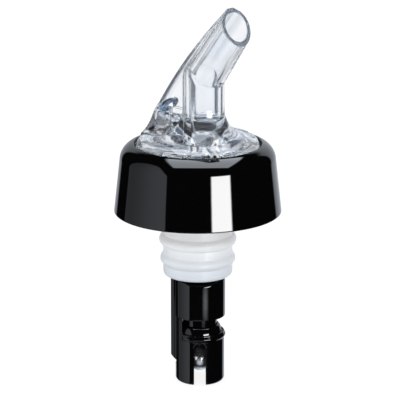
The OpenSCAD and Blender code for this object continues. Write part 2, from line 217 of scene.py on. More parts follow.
def settled(solid: Solid, points: Array, quads: Array, pitch: float) -> Array:
    """Points brought onto a skin, between rounds that even out its quads.

    Each round moves a point along the slope by the field over the slope's square, but only by part of a cell.

    Args:
        solid: the field.
        points: places near the skin, as rows.
        quads: rows of four point numbers.
        pitch: size of a cell.
    Returns:
        The new places.
    """
    for even in EVENED_ROUNDS:
        points = relaxed(points, quads) if even else points
        slope = gradient(solid, points)
        reach = solid(points) / np.maximum((slope * slope).sum(-1), LEAST_SLOPE)
        points = points - slope * np.clip(reach, -LONGEST_MOVE * pitch, LONGEST_MOVE * pitch)[:, None]
    return points


def crossing_quads(inside: Array, number: Array) -> Array:
    """Quads across all grid lines that a surface crosses, each from the four cells round such a line.

    Args:
        inside: whether each node of the grid is inside the solid.
        number: number of the point in each cell.
    Returns:
        Rows of four point numbers, facing outwards.
    """
    parts = []
    for axis in range(3):
        order = (axis, (axis + 1) % 3, (axis + 2) % 3)
        here, tag = (np.moveaxis(grid, order, (0, 1, 2)) for grid in (inside, number))
        first, second = here[:-1, 1:-1, 1:-1], here[1:, 1:-1, 1:-1]
        ring = np.stack([tag[:, :-1, :-1], tag[:, 1:, :-1], tag[:, 1:, 1:], tag[:, :-1, 1:]], -1)
        parts += [ring[first & ~second], ring[second & ~first][:, ::-1]]
    return np.concatenate(parts)


def net(solid: Solid, low: Sequence[float], high: Sequence[float], pitch: float,
        shear: Solid = lambda p: p) -> tuple[Array, Array, Array]:
    """Skin of a solid: one point in each grid cell that the surface crosses, joined in quads.

    A point starts at the mean of its cell's edge crossings, and is then settled on the surface.

    Args:
        solid: the field.
        low: lowest corner of the box to search.
        high: highest corner of that box.
        pitch: size of a cell.
        shear: moves the grid's nodes so that its lines follow a slanted form.
    Returns:
        Points, quads as rows of four point numbers, and normals.
    """
    axes = [np.arange(a - MARGIN[0] * pitch, b + MARGIN[1] * pitch, pitch) for a, b in zip(low, high)]
    values = solid(shear(np.stack(np.meshgrid(*axes, indexing="ij"), -1)))
    inside = values < 0
    size = np.array(inside.shape) - 1
    corners = np.array(list(np.ndindex(2, 2, 2)))
    filled = sum(inside[i:size[0] + i, j:size[1] + j, k:size[2] + k].astype(np.int8) for i, j, k in corners)
    crossed = (filled > 0) & (filled < len(corners))
    cell = np.argwhere(crossed)
    number = np.full(crossed.shape, -1, np.int64)
    number[crossed] = np.arange(len(cell))
    total, count = np.zeros((len(cell), 3)), np.zeros((len(cell), 1))
    for a in corners:
        for b in a + np.eye(3, dtype=int)[a == 0]:
            va, vb = (values[tuple((cell + end).T)][:, None] for end in (a, b))
            hit = (va < 0) != (vb < 0)
            share = np.where(hit, va / np.where(hit, va - vb, 1.0), 0.0)
            total += hit * (a + share * (b - a))
            count += hit
    start = np.array([axis[0] for axis in axes])
    quads = crossing_quads(inside, number)
    points = settled(solid, shear(start + pitch * (cell + total / count)), quads, pitch)
    normals = gradient(solid, points)
    normals /= np.maximum(np.linalg.norm(normals, axis=-1, keepdims=True), TINY)
    return points, quads, normals


# Meshes

def new_piece(name: str, points: Array, faces: Array, normals: Array | None = None) -> bpy.types.Object:
    """Puts arrays into a smooth mesh object at the origin.

    Args:
        name: the piece's name.
        points: places in millimetres, as rows.
        faces: rows of point numbers, all of one length.
        normals: outward normals for each point, where they are known.
    Returns:
        The new object, linked to the scene.
    """
    mesh = bpy.data.meshes.new(name)
    count, sides = faces.shape
    mesh.vertices.add(len(points))
    mesh.vertices.foreach_set("co", (points * MM).astype(np.float32).ravel())
    mesh.loops.add(count * sides)
    mesh.loops.foreach_set("vertex_index", faces.astype(np.int32).ravel())
    mesh.polygons.add(count)
    mesh.polygons.foreach_set("loop_start", np.arange(0, count * sides, sides, dtype=np.int32))
    mesh.polygons.foreach_set("use_smooth", np.ones(count, bool))
    mesh.update(calc_edges=True)
    if normals is not None:
        mesh.normals_split_custom_set_from_vertices(normals.astype(np.float32).tolist())
    piece = bpy.data.objects.new(name, mesh)
    bpy.context.scene.collection.objects.link(piece)
    return piece


def loop_grid(rows: int, columns: int) -> Array:
    """Quads of a grid that closes on itself both ways, as a ring's skin does.

    Args:
        rows: points along a section's loop.
        columns: points round the axis.
    Returns:
        Rows of four point numbers.
    """
    i, j = np.meshgrid(np.arange(rows), np.arange(columns), indexing="ij")
    n, m = (i + 1) % rows, (j + 1) % columns
    return np.stack([i * columns + j, i * columns + m, n * columns + m, n * columns + j], -1).reshape(-1, 4)


def on_circle(x: float, z: float, r: float, angles: Array) -> Array:
    """Points of a section on a circle, at angles from outwards to upwards."""
    return np.stack([x + r * np.cos(angles), z + r * np.sin(angles)], -1)


def rounded_loop(corners: Sequence[Triple], steps: int = ARC_STEPS) -> Array:
    """Closed outline with an arc at each corner.

    At a corner with half angle h, an arc of radius r starts r / tan(h) from it, and its centre is
    r / sin(h) away.

    Args:
        corners: radius from the axis, height, and rounding of each corner in turn.
        steps: points on each arc.
    Returns:
        Points of the outline, as rows of radius and height.
    """
    data = np.asarray(corners, float)
    at, r = data[:, :2], data[:, 2:]
    before = np.roll(at, 1, 0) - at
    after = np.roll(at, -1, 0) - at
    before /= np.linalg.norm(before, axis=1, keepdims=True)
    after /= np.linalg.norm(after, axis=1, keepdims=True)
    half = np.arccos(np.clip((before * after).sum(1, keepdims=True), -1, 1)) / 2
    middle = before + after
    middle /= np.linalg.norm(middle, axis=1, keepdims=True)
    centre = at + middle * r / np.sin(half)
    first, last = before * r / np.tan(half) + at - centre, after * r / np.tan(half) + at - centre
    turn = np.arctan2(first[:, 0] * last[:, 1] - first[:, 1] * last[:, 0], (first * last).sum(1))
    angle = turn[:, None] * np.linspace(0, 1, steps)
    c, s = np.cos(angle), np.sin(angle)
    x = centre[:, :1] + first[:, :1] * c - first[:, 1:] * s
    z = centre[:, 1:] + first[:, :1] * s + first[:, 1:] * c
    return np.stack([x, z], -1).reshape(-1, 2)


def turned(name: str, loop: Array, columns: int, axis_x: float = 0.0) -> bpy.types.Object:
    """Ring turned round an upright axis from a closed section that runs outwards, upwards and back.

    Point (i, j) is at radius r(i), height z(i) and angle j. Its normal is the section's own,
    turned by that angle.

    Args:
        name: the piece's name.
        loop: rows of radius and height.
        columns: points round the axis.
        axis_x: place of the axis along X.
    Returns:
        The new object.
    """
    angle = np.linspace(0, 2 * np.pi, columns, endpoint=False)
    run = np.roll(loop, -1, 0) - np.roll(loop, 1, 0)
    run /= np.maximum(np.linalg.norm(run, axis=1, keepdims=True), TINY)
    r, z = loop[:, :1], np.repeat(loop[:, 1:], columns, 1)
    points = np.stack([axis_x + r * np.cos(angle), r * np.sin(angle), z], -1).reshape(-1, 3)
    up = np.repeat(-run[:, :1], columns, 1)
    normals = np.stack([run[:, 1:] * np.cos(angle), run[:, 1:] * np.sin(angle), up], -1).reshape(-1, 3)
    return new_piece(name, points, loop_grid(len(loop), columns), normals)


def globe(name: str, centre: Sequence[float], r: float, rows: int = 48) -> bpy.types.Object:
    """Ball as six square grids on a cube, pushed out to the sphere and joined along their seams.

    A grid point (tan a, tan b, 1) with a and b from -45 to 45 degrees is divided by its length.

    Args:
        name: the piece's name.
        centre: middle of the ball.
        r: radius of the ball.
        rows: quads along each square's side.
    Returns:
        The new object.
    """
    t = np.tan(np.linspace(-np.pi / 4, np.pi / 4, rows + 1))
    a, b = np.meshgrid(t, t, indexing="ij")
    face = np.stack([a, b, np.ones_like(a)], -1)
    turns = [np.roll(np.eye(3), k, 0) for k in range(3)]
    walls = [face @ m for m in turns] + [(face * [-1, 1, -1]) @ m for m in turns]
    unit = np.concatenate([w.reshape(-1, 3) for w in walls])
    unit /= np.linalg.norm(unit, axis=1, keepdims=True)
    i, j = np.meshgrid(np.arange(rows), np.arange(rows), indexing="ij")
    side = rows + 1
    corner = (i * side + j).reshape(-1, 1)
    quad = corner + [0, side, side + 1, 1]
    quads = np.concatenate([quad + k * side * side for k in range(len(walls))])
    _, pick, back = np.unique(np.round(unit, 6), axis=0, return_index=True, return_inverse=True)
    unit = unit[pick]
    return new_piece(name, np.asarray(centre) + r * unit, back.reshape(-1)[quads], unit)


# Shader graphs

class Val:
    """A value in a shader graph, whose arithmetic adds Math nodes."""

    def __init__(self, graph: "Graph", socket: bpy.types.NodeSocket | None) -> None:
        """Wraps a node's output socket."""
        self.graph = graph
        self.socket = socket

    def __add__(self, other: Any) -> "Val":
        """Sum with a value or number."""
        return self.graph.math("ADD", self, other)

    __radd__ = __add__

    def __sub__(self, other: Any) -> "Val":
        """Difference to a value or number."""
        return self.graph.math("SUBTRACT", self, other)

    def __rsub__(self, other: Any) -> "Val":
        """Difference of a number to this value."""
        return self.graph.math("SUBTRACT", other, self)

    def __mul__(self, other: Any) -> "Val":
        """Product with a value or number."""
        return self.graph.math("MULTIPLY", self, other)

    __rmul__ = __mul__

    def __truediv__(self, other: Any) -> "Val":
        """Quotient by a value or number."""
        return self.graph.math("DIVIDE", self, other)

    def __rtruediv__(self, other: Any) -> "Val":
        """Quotient of a number by this value."""
        return self.graph.math("DIVIDE", other, self)

    def __abs__(self) -> "Val":
        """Size without the sign."""
        return self.graph.math("ABSOLUTE", self)

    def step(self, low: float, high: float) -> "Val":
        """Smooth rise from 0 at low to 1 at high."""
        return self.graph.node("ShaderNodeMapRange", {"interpolation_type": "SMOOTHSTEP"},
                               {"Value": self, "From Min": low, "From Max": high})

    def band(self, low: float, high: float, soft: float) -> "Val":
        """1 between two limits and 0 outside them, with soft edges."""
        return self.step(low - soft, low + soft) * (1 - self.step(high - soft, high + soft))


@dataclass(frozen=True)
class Grain:
    """One smooth noise: cells in a metre, octaves, weight of the finer ones, and stretch along the axes."""

    scale: float
    detail: float = 3.0
    rough: float = 0.5
    stretch: Triple = (1.0, 1.0, 1.0)


class Graph:
    """Node tree of one material or of the world."""

    def __init__(self, owner: Any) -> None:
        """Starts an empty tree.

        Args:
            owner: the material or world that gets it.
        """
        owner.use_nodes = True
        self.tree = owner.node_tree
        self.tree.nodes.clear()

    def node(self, kind: str, settings: dict[str, Any], sockets: dict[Any, Any], out: Any = 0) -> Val:
        """Adds a node.

        Args:
            kind: the node's type.
            settings: its properties, set first.
            sockets: values, or links from other nodes, for its inputs by name or number.
            out: name or number of the output to hand on.
        Returns:
            The output as a value.
        """
        made = self.tree.nodes.new(kind)
        for key, value in settings.items():
            setattr(made, key, value)
        for key, value in sockets.items():
            if isinstance(value, Val):
                self.tree.links.new(value.socket, made.inputs[key])
            else:
                made.inputs[key].default_value = value
        return Val(self, made.outputs[out] if made.outputs else None)

    def math(self, operation: str, *values: Any) -> Val:
        """Adds one Math node on values or numbers, in their order."""
        return self.node("ShaderNodeMath", {"operation": operation}, dict(enumerate(values)))

    def place(self, stretch: Triple = (1.0, 1.0, 1.0)) -> Val:
        """Object coordinates, stretched along the axes."""
        at = self.node("ShaderNodeTexCoord", {}, {}, "Object")
        return self.node("ShaderNodeMapping", {}, {"Vector": at, "Scale": stretch})

    def along(self, at: Val, axis: Sequence[float]) -> Val:
        """Length of a place along an axis."""
        return self.node("ShaderNodeVectorMath", {"operation": "DOT_PRODUCT"},
                         {0: at, 1: tuple(axis)}, "Value")

    def axes(self) -> list[Val]:
        """The three Object coordinates, each as a value."""
        at = self.place()
        return [self.along(at, axis) for axis in np.eye(3).tolist()]

    def noise(self, grain: Grain) -> Val:
        """Smooth noise from 0 to 1 over a piece."""
        return self.node("ShaderNodeTexNoise", {}, {"Vector": self.place(grain.stretch), "Scale": grain.scale,
                                                    "Detail": grain.detail, "Roughness": grain.rough}, "Fac")

    def blend(self, mask: Any, low: Any, high: Any) -> Val:
        """Colour between two colours by a mask."""
        ends = [c if isinstance(c, Val) else (*c, 1.0) for c in (low, high)]
        return self.node("ShaderNodeMix", {"data_type": "RGBA"}, {0: mask, 6: ends[0], 7: ends[1]}, 2)

    def bump(self, height: Val, depth: float) -> Val:
        """Normal bent by a height field of a depth in metres."""
        return self.node("ShaderNodeBump", {},
                         {"Height": height, "Distance": depth, "Strength": 1.0}, "Normal")


# Finishes

@dataclass(frozen=True)
class Finish:
    """One finish: two colours, the limits of its roughness, its fixed values, and what varies over it."""

    name: str
    colour: Triple
    shade: Triple
    rough: Pair
    fixed: dict[str, Any]

    def graph(self, g: Graph) -> dict[str, Val]:
        """Values that change over the surface, by socket name, as each kind of finish gives them."""
        raise NotImplementedError(self.name)

    def gloss(self, share: Val) -> Val:
        """Roughness at a share of the way between its limits."""
        return self.rough[0] + (self.rough[1] - self.rough[0]) * share

    def surface(self, g: Graph) -> Val:
        """Shader of the surface, with its fixed and its varied values."""
        return g.node("ShaderNodeBsdfPrincipled", {}, {**self.fixed, **self.graph(g)})

    def material(self) -> bpy.types.Material:
        """Builds the material.

        Returns:
            The new material.
        """
        made = bpy.data.materials.new(self.name)
        g = Graph(made)
        g.node("ShaderNodeOutputMaterial", {}, {"Surface": self.surface(g)})
        return made


@dataclass(frozen=True)
class ClearPlastic(Finish):
    """Clear polished moulding: faint flow waves, a few hairlines, satin edges and seat, and painted shade on
    the rim, back edge, bore and vent.
    """

    rim_axis: Triple
    rim_reach: float
    vent_at: Pair
    vent_half: Triple
    vent_slope: float
    vent_face: float
    bend_at: Pair
    bend_lean: float
    fin_off: float
    bore_r: float
    core_at: Pair
    core_r: float
    seat_z: Pair
    ridge_at: Pair
    ridge_r: float
    ridge_z: Pair
    waves: Grain = Grain(130, 2)
    wave_depth: float = 1.5e-5
    hairlines: Grain = Grain(900, stretch=(1.0, 1.0, 0.08))
    hairline_edge: Pair = (0.62, 0.8)
    skin: float = 1e-4
    rim_skin: Pair = (2.5e-4, 1e-4)
    rim_share: float = 0.6
    # Satin trim on the rim and the fin's back edge, coloured with a painted dark slate shade
    edge_shade_colour: Triple = (0.15, 0.18, 0.23)
    # Painted dark blue shade in the vent's scoop, lifted along a painted highlight streak
    vent_shade_colour: Triple = (0.10, 0.19, 0.33)
    vent_shade_edge: Pair = (1.03, 1.2)
    vent_highlight_share: float = 0.8
    vent_highlight_rise: Triple = (0.0, 0.3, 0.12)
    vent_highlight_run: Triple = (-0.35, 0.3, 0.2)
    fin_soft: float = 3e-4
    fin_colour: Triple = (0.83, 0.86, 0.89)
    bore_skin: Pair = (5e-5, 2e-4)
    bore_start: Pair = (2e-3, 6e-3)
    bore_upper: Pair = (-2.6e-3, -4e-4)
    # Painted grey shade on the bore's upper wall, in stripes along the tube
    bore_shade_colour: Triple = (0.62, 0.67, 0.75)
    shade_stripes: Pair = (2600.0, 60.0)
    shade_stripe_edge: float = 0.6
    shade_stripe_least: float = 0.45
    core_skin: float = 0.95
    core_rough: float = 0.4
    seat_share: float = 0.85
    seat_colour: Triple = (0.93, 0.95, 0.97)
    ridge_skin: Pair = (7e-4, 4e-4)
    ridge_fade: float = 2e-3
    ridge_share: float = 0.5
    satin_rough: float = 0.35

    def bent(self, g: Graph) -> tuple[Val, Val, Val, Val]:
        """Place by the spout's bend, with the tube's axis turned forward by the lean.

        Args:
            g: the graph to add nodes to.
        Returns:
            Lengths ahead of the neck's axis, across the spout's plane, along the tube and off its axis.
        """
        s, c = math.sin(self.bend_lean), math.cos(self.bend_lean)
        x, y, z = g.axes()
        u, w = x - self.bend_at[0], z - self.bend_at[1]
        return u, y, u * s + w * c, u * c - w * s

    def vent(self, g: Graph) -> Val:
        """Painted dark blue shade in the vent's scoop: the scoop's own ellipsoid, lifted along a painted
        highlight streak.

        Args:
            g: the graph to add nodes to.
        Returns:
            The share of painted shade.
        """
        s, c = math.sin(self.vent_slope), math.cos(self.vent_slope)
        x, y, z = g.axes()
        u, w = x - self.vent_at[0], z - self.vent_at[1]
        run = (u * c + w * s) / self.vent_half[0]
        rise = (w * c - u * s) / self.vent_half[1]
        deep = (abs(y) - self.vent_face) / self.vent_half[2]
        inside = 1 - (run * run + rise * rise + deep * deep).step(*self.vent_shade_edge)
        return inside * (1 - self.vent_highlight_share * rise.band(*self.vent_highlight_rise) * run.band(*self.vent_highlight_run))

    def fin(self, g: Graph) -> Val:
        """The fin's two faces: their distance from the middle plane, behind the neck and the tube.

        Args:
            g: the graph to add nodes to.
        Returns:
            The mask.
        """
        ahead, across, _, off = self.bent(g)
        front = g.math("MAXIMUM", off, ahead)
        behind = 1 - front.step(self.fin_off - self.fin_soft, self.fin_off + self.fin_soft)
        return behind * abs(across).band(self.vent_face - self.skin, self.vent_face + self.skin, self.skin)

    def bore(self, g: Graph) -> Val:
        """Painted grey shade on the upper wall of the tube's bore, in stripes along the tube.

        Args:
            g: the graph to add nodes to.
        Returns:
            The share of painted shade.
        """
        _, across, along, off = self.bent(g)
        wall = 1 - (off * off + across * across).step(*((self.bore_r + d) ** 2 for d in self.bore_skin))
        upper = along.step(*self.bore_start) * (1 - off.step(*self.bore_upper))
        wave = g.math("SINE", across * self.shade_stripes[0] + along * self.shade_stripes[1])
        lines = wave.step(-self.shade_stripe_edge, self.shade_stripe_edge)
        return wall * upper * (self.shade_stripe_least + (1 - self.shade_stripe_least) * lines)

    def core(self, g: Graph) -> Val:
        """The air way's cored walls, unpolished inside: near its upright axis and below its ceiling.

        Args:
            g: the graph to add nodes to.
        Returns:
            The mask.
        """
        x, y, z = g.axes()
        u = x - self.core_at[0]
        near = 1 - (u * u + y * y).step((self.core_skin * self.core_r) ** 2, self.core_r ** 2)
        return near * (1 - z.step(self.core_at[1] - self.skin, self.core_at[1]))

    def ridge(self, g: Graph) -> Val:
        """The fin's narrow back edge: the skin on the ridge's circle, between two heights.

        Args:
            g: the graph to add nodes to.
        Returns:
            The mask.
        """
        x, _, z = g.axes()
        u, w = x - self.ridge_at[0], z - self.ridge_at[1]
        skin = (u * u + w * w).step(*((self.ridge_r - d) ** 2 for d in self.ridge_skin))
        return skin * z.band(*self.ridge_z, self.ridge_fade)

    def graph(self, g: Graph) -> dict[str, Val]:
        """Slow waves bend the normal, hairlines dull the gloss, the fin is greyer, and the bore and vent get
        painted shade.

        Args:
            g: the graph to add nodes to.
        Returns:
            Base Color, Roughness and Normal.
        """
        waves = g.noise(self.waves)
        hairlines = g.noise(self.hairlines).step(*self.hairline_edge)
        body = g.blend(self.fin(g), g.blend(waves, self.colour, self.shade), self.fin_colour)
        # Painted shade: grey stripes on the upper wall of the bore
        body = g.blend(self.bore(g), body, self.bore_shade_colour)
        # Painted shade in the vent's scoop, with a painted highlight streak
        return {"Base Color": g.blend(self.vent(g), body, self.vent_shade_colour),
                "Roughness": self.gloss(hairlines) + self.core_rough * self.core(g),
                "Normal": g.bump(waves, self.wave_depth)}

    def surface(self, g: Graph) -> Val:
        """Clear shader, mixed with a satin one on the trimmed rim, the fin's back edge and the valve's seat;
        the satin on the rim and the back edge carries a painted dark slate shade.

        Args:
            g: the graph to add nodes to.
        Returns:
            The mixed shader.
        """
        at = g.place()
        edge = self.ridge(g)
        rim = g.along(at, self.rim_axis).step(*(self.rim_reach - d for d in self.rim_skin))
        seat = g.along(at, UP).band(*self.seat_z, self.skin)
        # Painted shade: dark slate on the rim and the fin's back edge; the seat keeps its own pale colour
        colour = g.blend(rim + edge, self.seat_colour, self.edge_shade_colour)
        satin = g.node("ShaderNodeBsdfPrincipled", {}, {"Base Color": colour, "Roughness": self.satin_rough})
        share = rim * self.rim_share + seat * self.seat_share + edge * self.ridge_share
        return g.node("ShaderNodeMixShader", {}, {0: share, 1: super().surface(g), 2: satin})


@dataclass(frozen=True)
class BlackPlastic(Finish):
    """Gloss black moulding: faint flow waves, dust and fine wiping marks."""

    waves: Grain = Grain(160, 2)
    wave_depth: float = 6e-6
    marks: Grain = Grain(700, 5, 0.65, (1.0, 1.0, 6.0))
    dust: Grain = Grain(5200, 2)
    dust_edge: Pair = (0.7, 0.78)
    dust_share: float = 0.5
    dust_rough: float = 0.1

    def graph(self, g: Graph) -> dict[str, Val]:
        """Waves bend the reflections a little, and dust and marks round the axis roughen the gloss.

        Args:
            g: the graph to add nodes to.
        Returns:
            Base Color, Roughness and Normal.
        """
        dust = g.noise(self.dust).step(*self.dust_edge)
        return {"Base Color": g.blend(dust * self.dust_share, self.colour, self.shade),
                "Roughness": self.gloss(g.noise(self.marks)) + self.dust_rough * dust,
                "Normal": g.bump(g.noise(self.waves), self.wave_depth)}


@dataclass(frozen=True)
class FrostedPlastic(Finish):
    """Soft frosted moulding: cloudy body with a painted shade that greys it near its lower end, and a fine
    satin grain.
    """

    painted_shade_heights: Pair
    painted_shade_share: float = 0.8
    cloud: Grain = Grain(220, 4, 0.55)
    grain: Grain = Grain(4200, 3, 0.6)
    grain_depth: float = 6e-6

    def graph(self, g: Graph) -> dict[str, Val]:
        """Clouds and a painted shade that darkens towards the lower end vary the colour, and a fine grain
        scatters the gloss.

        Args:
            g: the graph to add nodes to.
        Returns:
            Base Color, Roughness and Normal.
        """
        cloud = g.noise(self.cloud)
        # Painted shade: the colour darkens towards the stopper's lower end
        body = self.painted_shade_share * g.along(g.place(), UP).step(*self.painted_shade_heights) + (1 - self.painted_shade_share) * cloud
        return {"Base Color": g.blend(body, self.colour, self.shade),
                "Roughness": self.gloss(cloud),
                "Normal": g.bump(g.noise(self.grain), self.grain_depth)}


@dataclass(frozen=True)
class PolishedSteel(Finish):
    """Polished steel ball: soft mirror with lapping marks and small dull spots."""

    lap: Grain = Grain(2600, 4, stretch=(1.0, 3.0, 1.0))
    lap_depth: float = 4e-7
    spots: Grain = Grain(700, 2)
    spot_edge: Pair = (0.62, 0.75)
    spot_rough: float = 0.04

    def graph(self, g: Graph) -> dict[str, Val]:
        """Lapping marks and spots vary the gloss.

        Args:
            g: the graph to add nodes to.
        Returns:
            Base Color, Roughness and Normal.
        """
        lap = g.noise(self.lap)
        spots = g.noise(self.spots).step(*self.spot_edge)
        return {"Base Color": g.blend(spots, self.colour, self.shade),
                "Roughness": self.gloss(lap) + self.spot_rough * spots,
                "Normal": g.bump(lap, self.lap_depth)}


# Pieces

@dataclass
class Dresser:
    """Joins finished pieces to the frame and keeps their finishes."""

    made: dict[str, bpy.types.Material] = field(default_factory=dict)

    def dress(self, piece: bpy.types.Object, node: str, finish: Finish,
              body: Body = Body.POURER) -> None:
        """Gives a piece its finish, its body and the node that it stands for.

        Args:
            piece: the new object.
            node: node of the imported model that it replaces.
            finish: its surface.
            body: body that carries it.
        """
        if finish.name not in self.made:
            self.made[finish.name] = finish.material()
        piece.data.materials.append(self.made[finish.name])
        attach(piece, body.value)
        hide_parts(node)
        LOG.info("%s stands for %s on %s, %d faces", piece.name, node, body.value, len(piece.data.polygons))


@dataclass
class Spout:
    """Clear spout: round base, flare, neck, bent tube with a slanted mouth, and the vent's fin."""

    deck_z: float = DECK_Z
    deck_gap: float = 0.04
    deck_edge: float = 0.3
    base_r: float = 16.2
    base_top: float = 66.6
    base_edge_r: float = 2.6
    flare_r: float = 8.0
    flare_rim_r: float = 14.0
    flare_edge: float = 1.2
    flare_fillet: float = 0.6
    neck_x: float = 2.2
    neck_r: float = 5.45
    neck_fillet: float = 0.3
    bend_z: float = 82.7
    bend_fillet: float = 0.12
    lean: float = math.radians(38.5)
    tube_len: float = 19.6
    mouth_r: float = 4.6
    mouth_lean: float = math.radians(64)
    mouth_edge: float = 0.35
    bore_r: float = 3.9
    bore_fillet: float = 0.08
    tube_bore_r: float = 3.5
    hole_edge: float = 0.3
    fin_t: float = 2.6
    fin_edge: float = 0.3
    fin_fillet: float = 0.7
    ridge_r: float = 150.0
    ridge_rise: float = 0.2
    ridge_edge: float = 0.36
    ridge_foot_h: float = 3.4
    foot_fillet_r: float = 6.5
    foot_inset: float = 0.4
    foot_edge: float = 0.6
    foot_blend: float = 0.4
    scoop_x: float = -10.4
    scoop_h: float = 6.8
    scoop_len: float = 6.6
    scoop_w: float = 2.5
    scoop_depth: float = 1.22
    scoop_slope: float = math.radians(35)
    duct_r: float = 0.55
    post_x: float = POST_X
    gallery_top: float = GALLERY_TOP
    gallery_r: float = 11.8
    bush_r: float = 1.95
    bush_top: float = BUSH_TOP
    chamber_r: float = 1.54
    chamber_top: float = 67.75
    spigot_z: float = 50.3
    spigot_top: float = 64.6
    spigot_r: float = 5.6
    socket_r: float = SLEEVE_SOCKET_R
    socket_top: float = SLEEVE_TOP
    seat_r: float = 2.9
    seat_top: float = 54.7
    seat_bore_r: float = SLEEVE_BORE_R
    seat_lap: float = 0.5
    barrel: Pair = on_tail(BARREL_OFFSET)
    groove: Pair = on_tail(-VENT_OFFSET)
    groove_r: float = VENT_GROOVE_R
    overlap: float = 1.0
    core_margin: Pair = (0.2, 0.4)
    satin_margin: Pair = (1.0, 2.0)
    satin_ridge: Pair = (73.0, 90.0)
    pitch: float = 0.27

    def tube_axes(self, p: Array) -> tuple[Array, Array, Array]:
        """Place by the tube's axis, which leans forward from the bend.

        Args:
            p: points, as rows.
        Returns:
            Lengths along the axis, off it in the spout's plane, and across that plane.
        """
        x, z = p[..., 0] - self.neck_x, p[..., 2] - self.bend_z
        s, c = math.sin(self.lean), math.cos(self.lean)
        return x * s + z * c, x * c - z * s, p[..., 1]

    def tube_end(self) -> Array:
        """Middle of the mouth, as X and Z: the tube's length along its lean from the bend."""
        way = np.array([math.sin(self.lean), math.cos(self.lean)])
        return np.array([self.neck_x, self.bend_z]) + self.tube_len * way

    def rim(self) -> tuple[Triple, float]:
        """Direction that the mouth's face looks in, and how far the face is along it.

        Returns:
            The unit direction and the distance from the origin.
        """
        x, z = self.tube_end().tolist()
        n = (math.sin(self.mouth_lean), 0.0, math.cos(self.mouth_lean))
        return n, x * n[0] + z * n[2]

    def ridge_centre(self) -> Array:
        """Centre of the ridge's curve, a circle of known radius through the fin's foot and the mouth's back.

        Returns:
            Its X and Z.
        """
        back = self.mouth_r + self.ridge_rise
        top = self.tube_end() + back * np.array([-math.cos(self.lean), math.sin(self.lean)])
        foot = np.array([-self.base_r, self.base_top + self.ridge_foot_h])
        half = (top - foot) / 2
        off = math.sqrt(self.ridge_r ** 2 - half @ half) / math.sqrt(half @ half)
        return (top + foot) / 2 + off * np.array([half[1], -half[0]])

    def ridge(self, p: Array) -> Array:
        """Distance outside the ridge's circle."""
        x, z = self.ridge_centre()
        return np.hypot(p[..., 0] - x, p[..., 2] - z) - self.ridge_r

    def base(self, p: Array) -> Array:
        """Round base with its flare: a disc with a round edge, and a cove that leads up to the neck.

        Args:
            p: points, as rows.
        Returns:
            The field at the points.
        """
        r, rise = np.hypot(p[..., 0], p[..., 1]), p[..., 2] - self.base_top
        disc = round_edge(r - self.base_r, rise, self.base_edge_r)
        flare = cove(upright_rod(p, self.neck_x, 0, self.neck_r), rise, self.flare_r)
        return soft_min(disc, soft_max(flare, r - self.flare_rim_r, self.flare_edge), self.flare_fillet)

    def pipe(self, p: Array, neck_r: float, tube_r: Array | float, fillet: float) -> Array:
        """Upright round form, a ball at the bend and a round form along the tube, without ends.

        Args:
            p: points, as rows.
            neck_r: radius below the bend.
            tube_r: radius above the bend.
            fillet: width of the blend between the two.
        Returns:
            The field at the points.
        """
        along, off, across = self.tube_axes(p)
        neck = np.maximum(upright_rod(p, self.neck_x, 0, neck_r), p[..., 2] - self.bend_z)
        knee = ball(p, (self.neck_x, 0, self.bend_z), neck_r)
        tube = np.maximum(np.hypot(off, across) - tube_r, -along)
        return soft_min(np.minimum(neck, knee), tube, fillet)

    def fin(self, p: Array) -> Array:
        """Vent's fin: a plate behind the tube and under the ridge, with coves along its foot.

        Args:
            p: points, as rows.
        Returns:
            The field at the points.
        """
        x, y, z = np.moveaxis(p, -1, 0)
        side, ridge = np.abs(y) - self.fin_t / 2, self.ridge(p)
        front = np.minimum(x - self.neck_x, self.tube_axes(p)[1])
        ends = np.maximum(front, -self.base_r - x)
        plate = soft_max(soft_max(side, ridge, self.ridge_edge), ends, self.fin_edge)
        rim = soft_max(ridge, np.hypot(x, y) - (self.base_r - self.foot_inset), self.foot_edge)
        foot = np.maximum(cove(side, z - self.base_top, self.foot_fillet_r), x)
        foot = np.maximum(soft_max(foot, rim, self.foot_edge), self.base_top - self.base_edge_r - z)
        return soft_min(plate, foot, self.foot_blend)

    def body(self, p: Array) -> Array:
        """Outside of the spout: base, neck, tube and fin, joined with small fillets, and the spigot below.

        Args:
            p: points, as rows.
        Returns:
            The field at the points.
        """
        z = p[..., 2]
        taper = (self.neck_r - self.mouth_r) / self.tube_len
        pipe = self.pipe(p, self.neck_r, self.neck_r - taper * self.tube_axes(p)[0], self.bend_fillet)
        shape = soft_min(soft_min(self.base(p), pipe, self.neck_fillet), self.fin(p), self.fin_fillet)
        spigot = np.maximum(upright_rod(p, *self.barrel, self.spigot_r),
                            between(z, self.spigot_z, self.spigot_top))
        return np.minimum(soft_max(shape, self.deck_z + self.deck_gap - z, self.deck_edge), spigot)

    def drink_way(self, p: Array) -> Array:
        """Way of the drink: the sleeve's socket, the timing ball's seat and the bores of the neck and tube.

        Args:
            p: points, as rows.
        Returns:
            The field at the points.
        """
        z = p[..., 2]
        bore = np.maximum(self.pipe(p, self.bore_r, self.tube_bore_r, self.bore_fillet), self.gallery_top - z)
        rho = upright_rod(p, *self.barrel, 0)
        socket = np.maximum(rho - self.socket_r, z - self.socket_top)
        run = (z - self.socket_top) / (self.seat_top - self.socket_top)
        cone = self.seat_bore_r + (self.seat_r - self.seat_bore_r) * np.clip(run, 0, 1)
        level = between(z, self.socket_top - self.overlap, self.gallery_top + self.seat_lap)
        return union(bore, socket, np.maximum(rho - cone, level))

    def scoops(self, p: Array) -> Array:
        """Leaf-shaped scoops of the vent in the fin's faces: ellipsoids, scaled to about a distance.

        Args:
            p: points, as rows.
        Returns:
            The field at the points.
        """
        u, v = p[..., 0] - self.scoop_x, p[..., 2] - self.base_top - self.scoop_h
        s, c = math.sin(self.scoop_slope), math.cos(self.scoop_slope)
        run, rise = 2 * (u * c + v * s) / self.scoop_len, 2 * (v * c - u * s) / self.scoop_w
        deep = (np.abs(p[..., 1]) - self.fin_t / 2) / self.scoop_depth
        return (np.sqrt(run * run + rise * rise + deep * deep) - 1) * self.scoop_w / 2

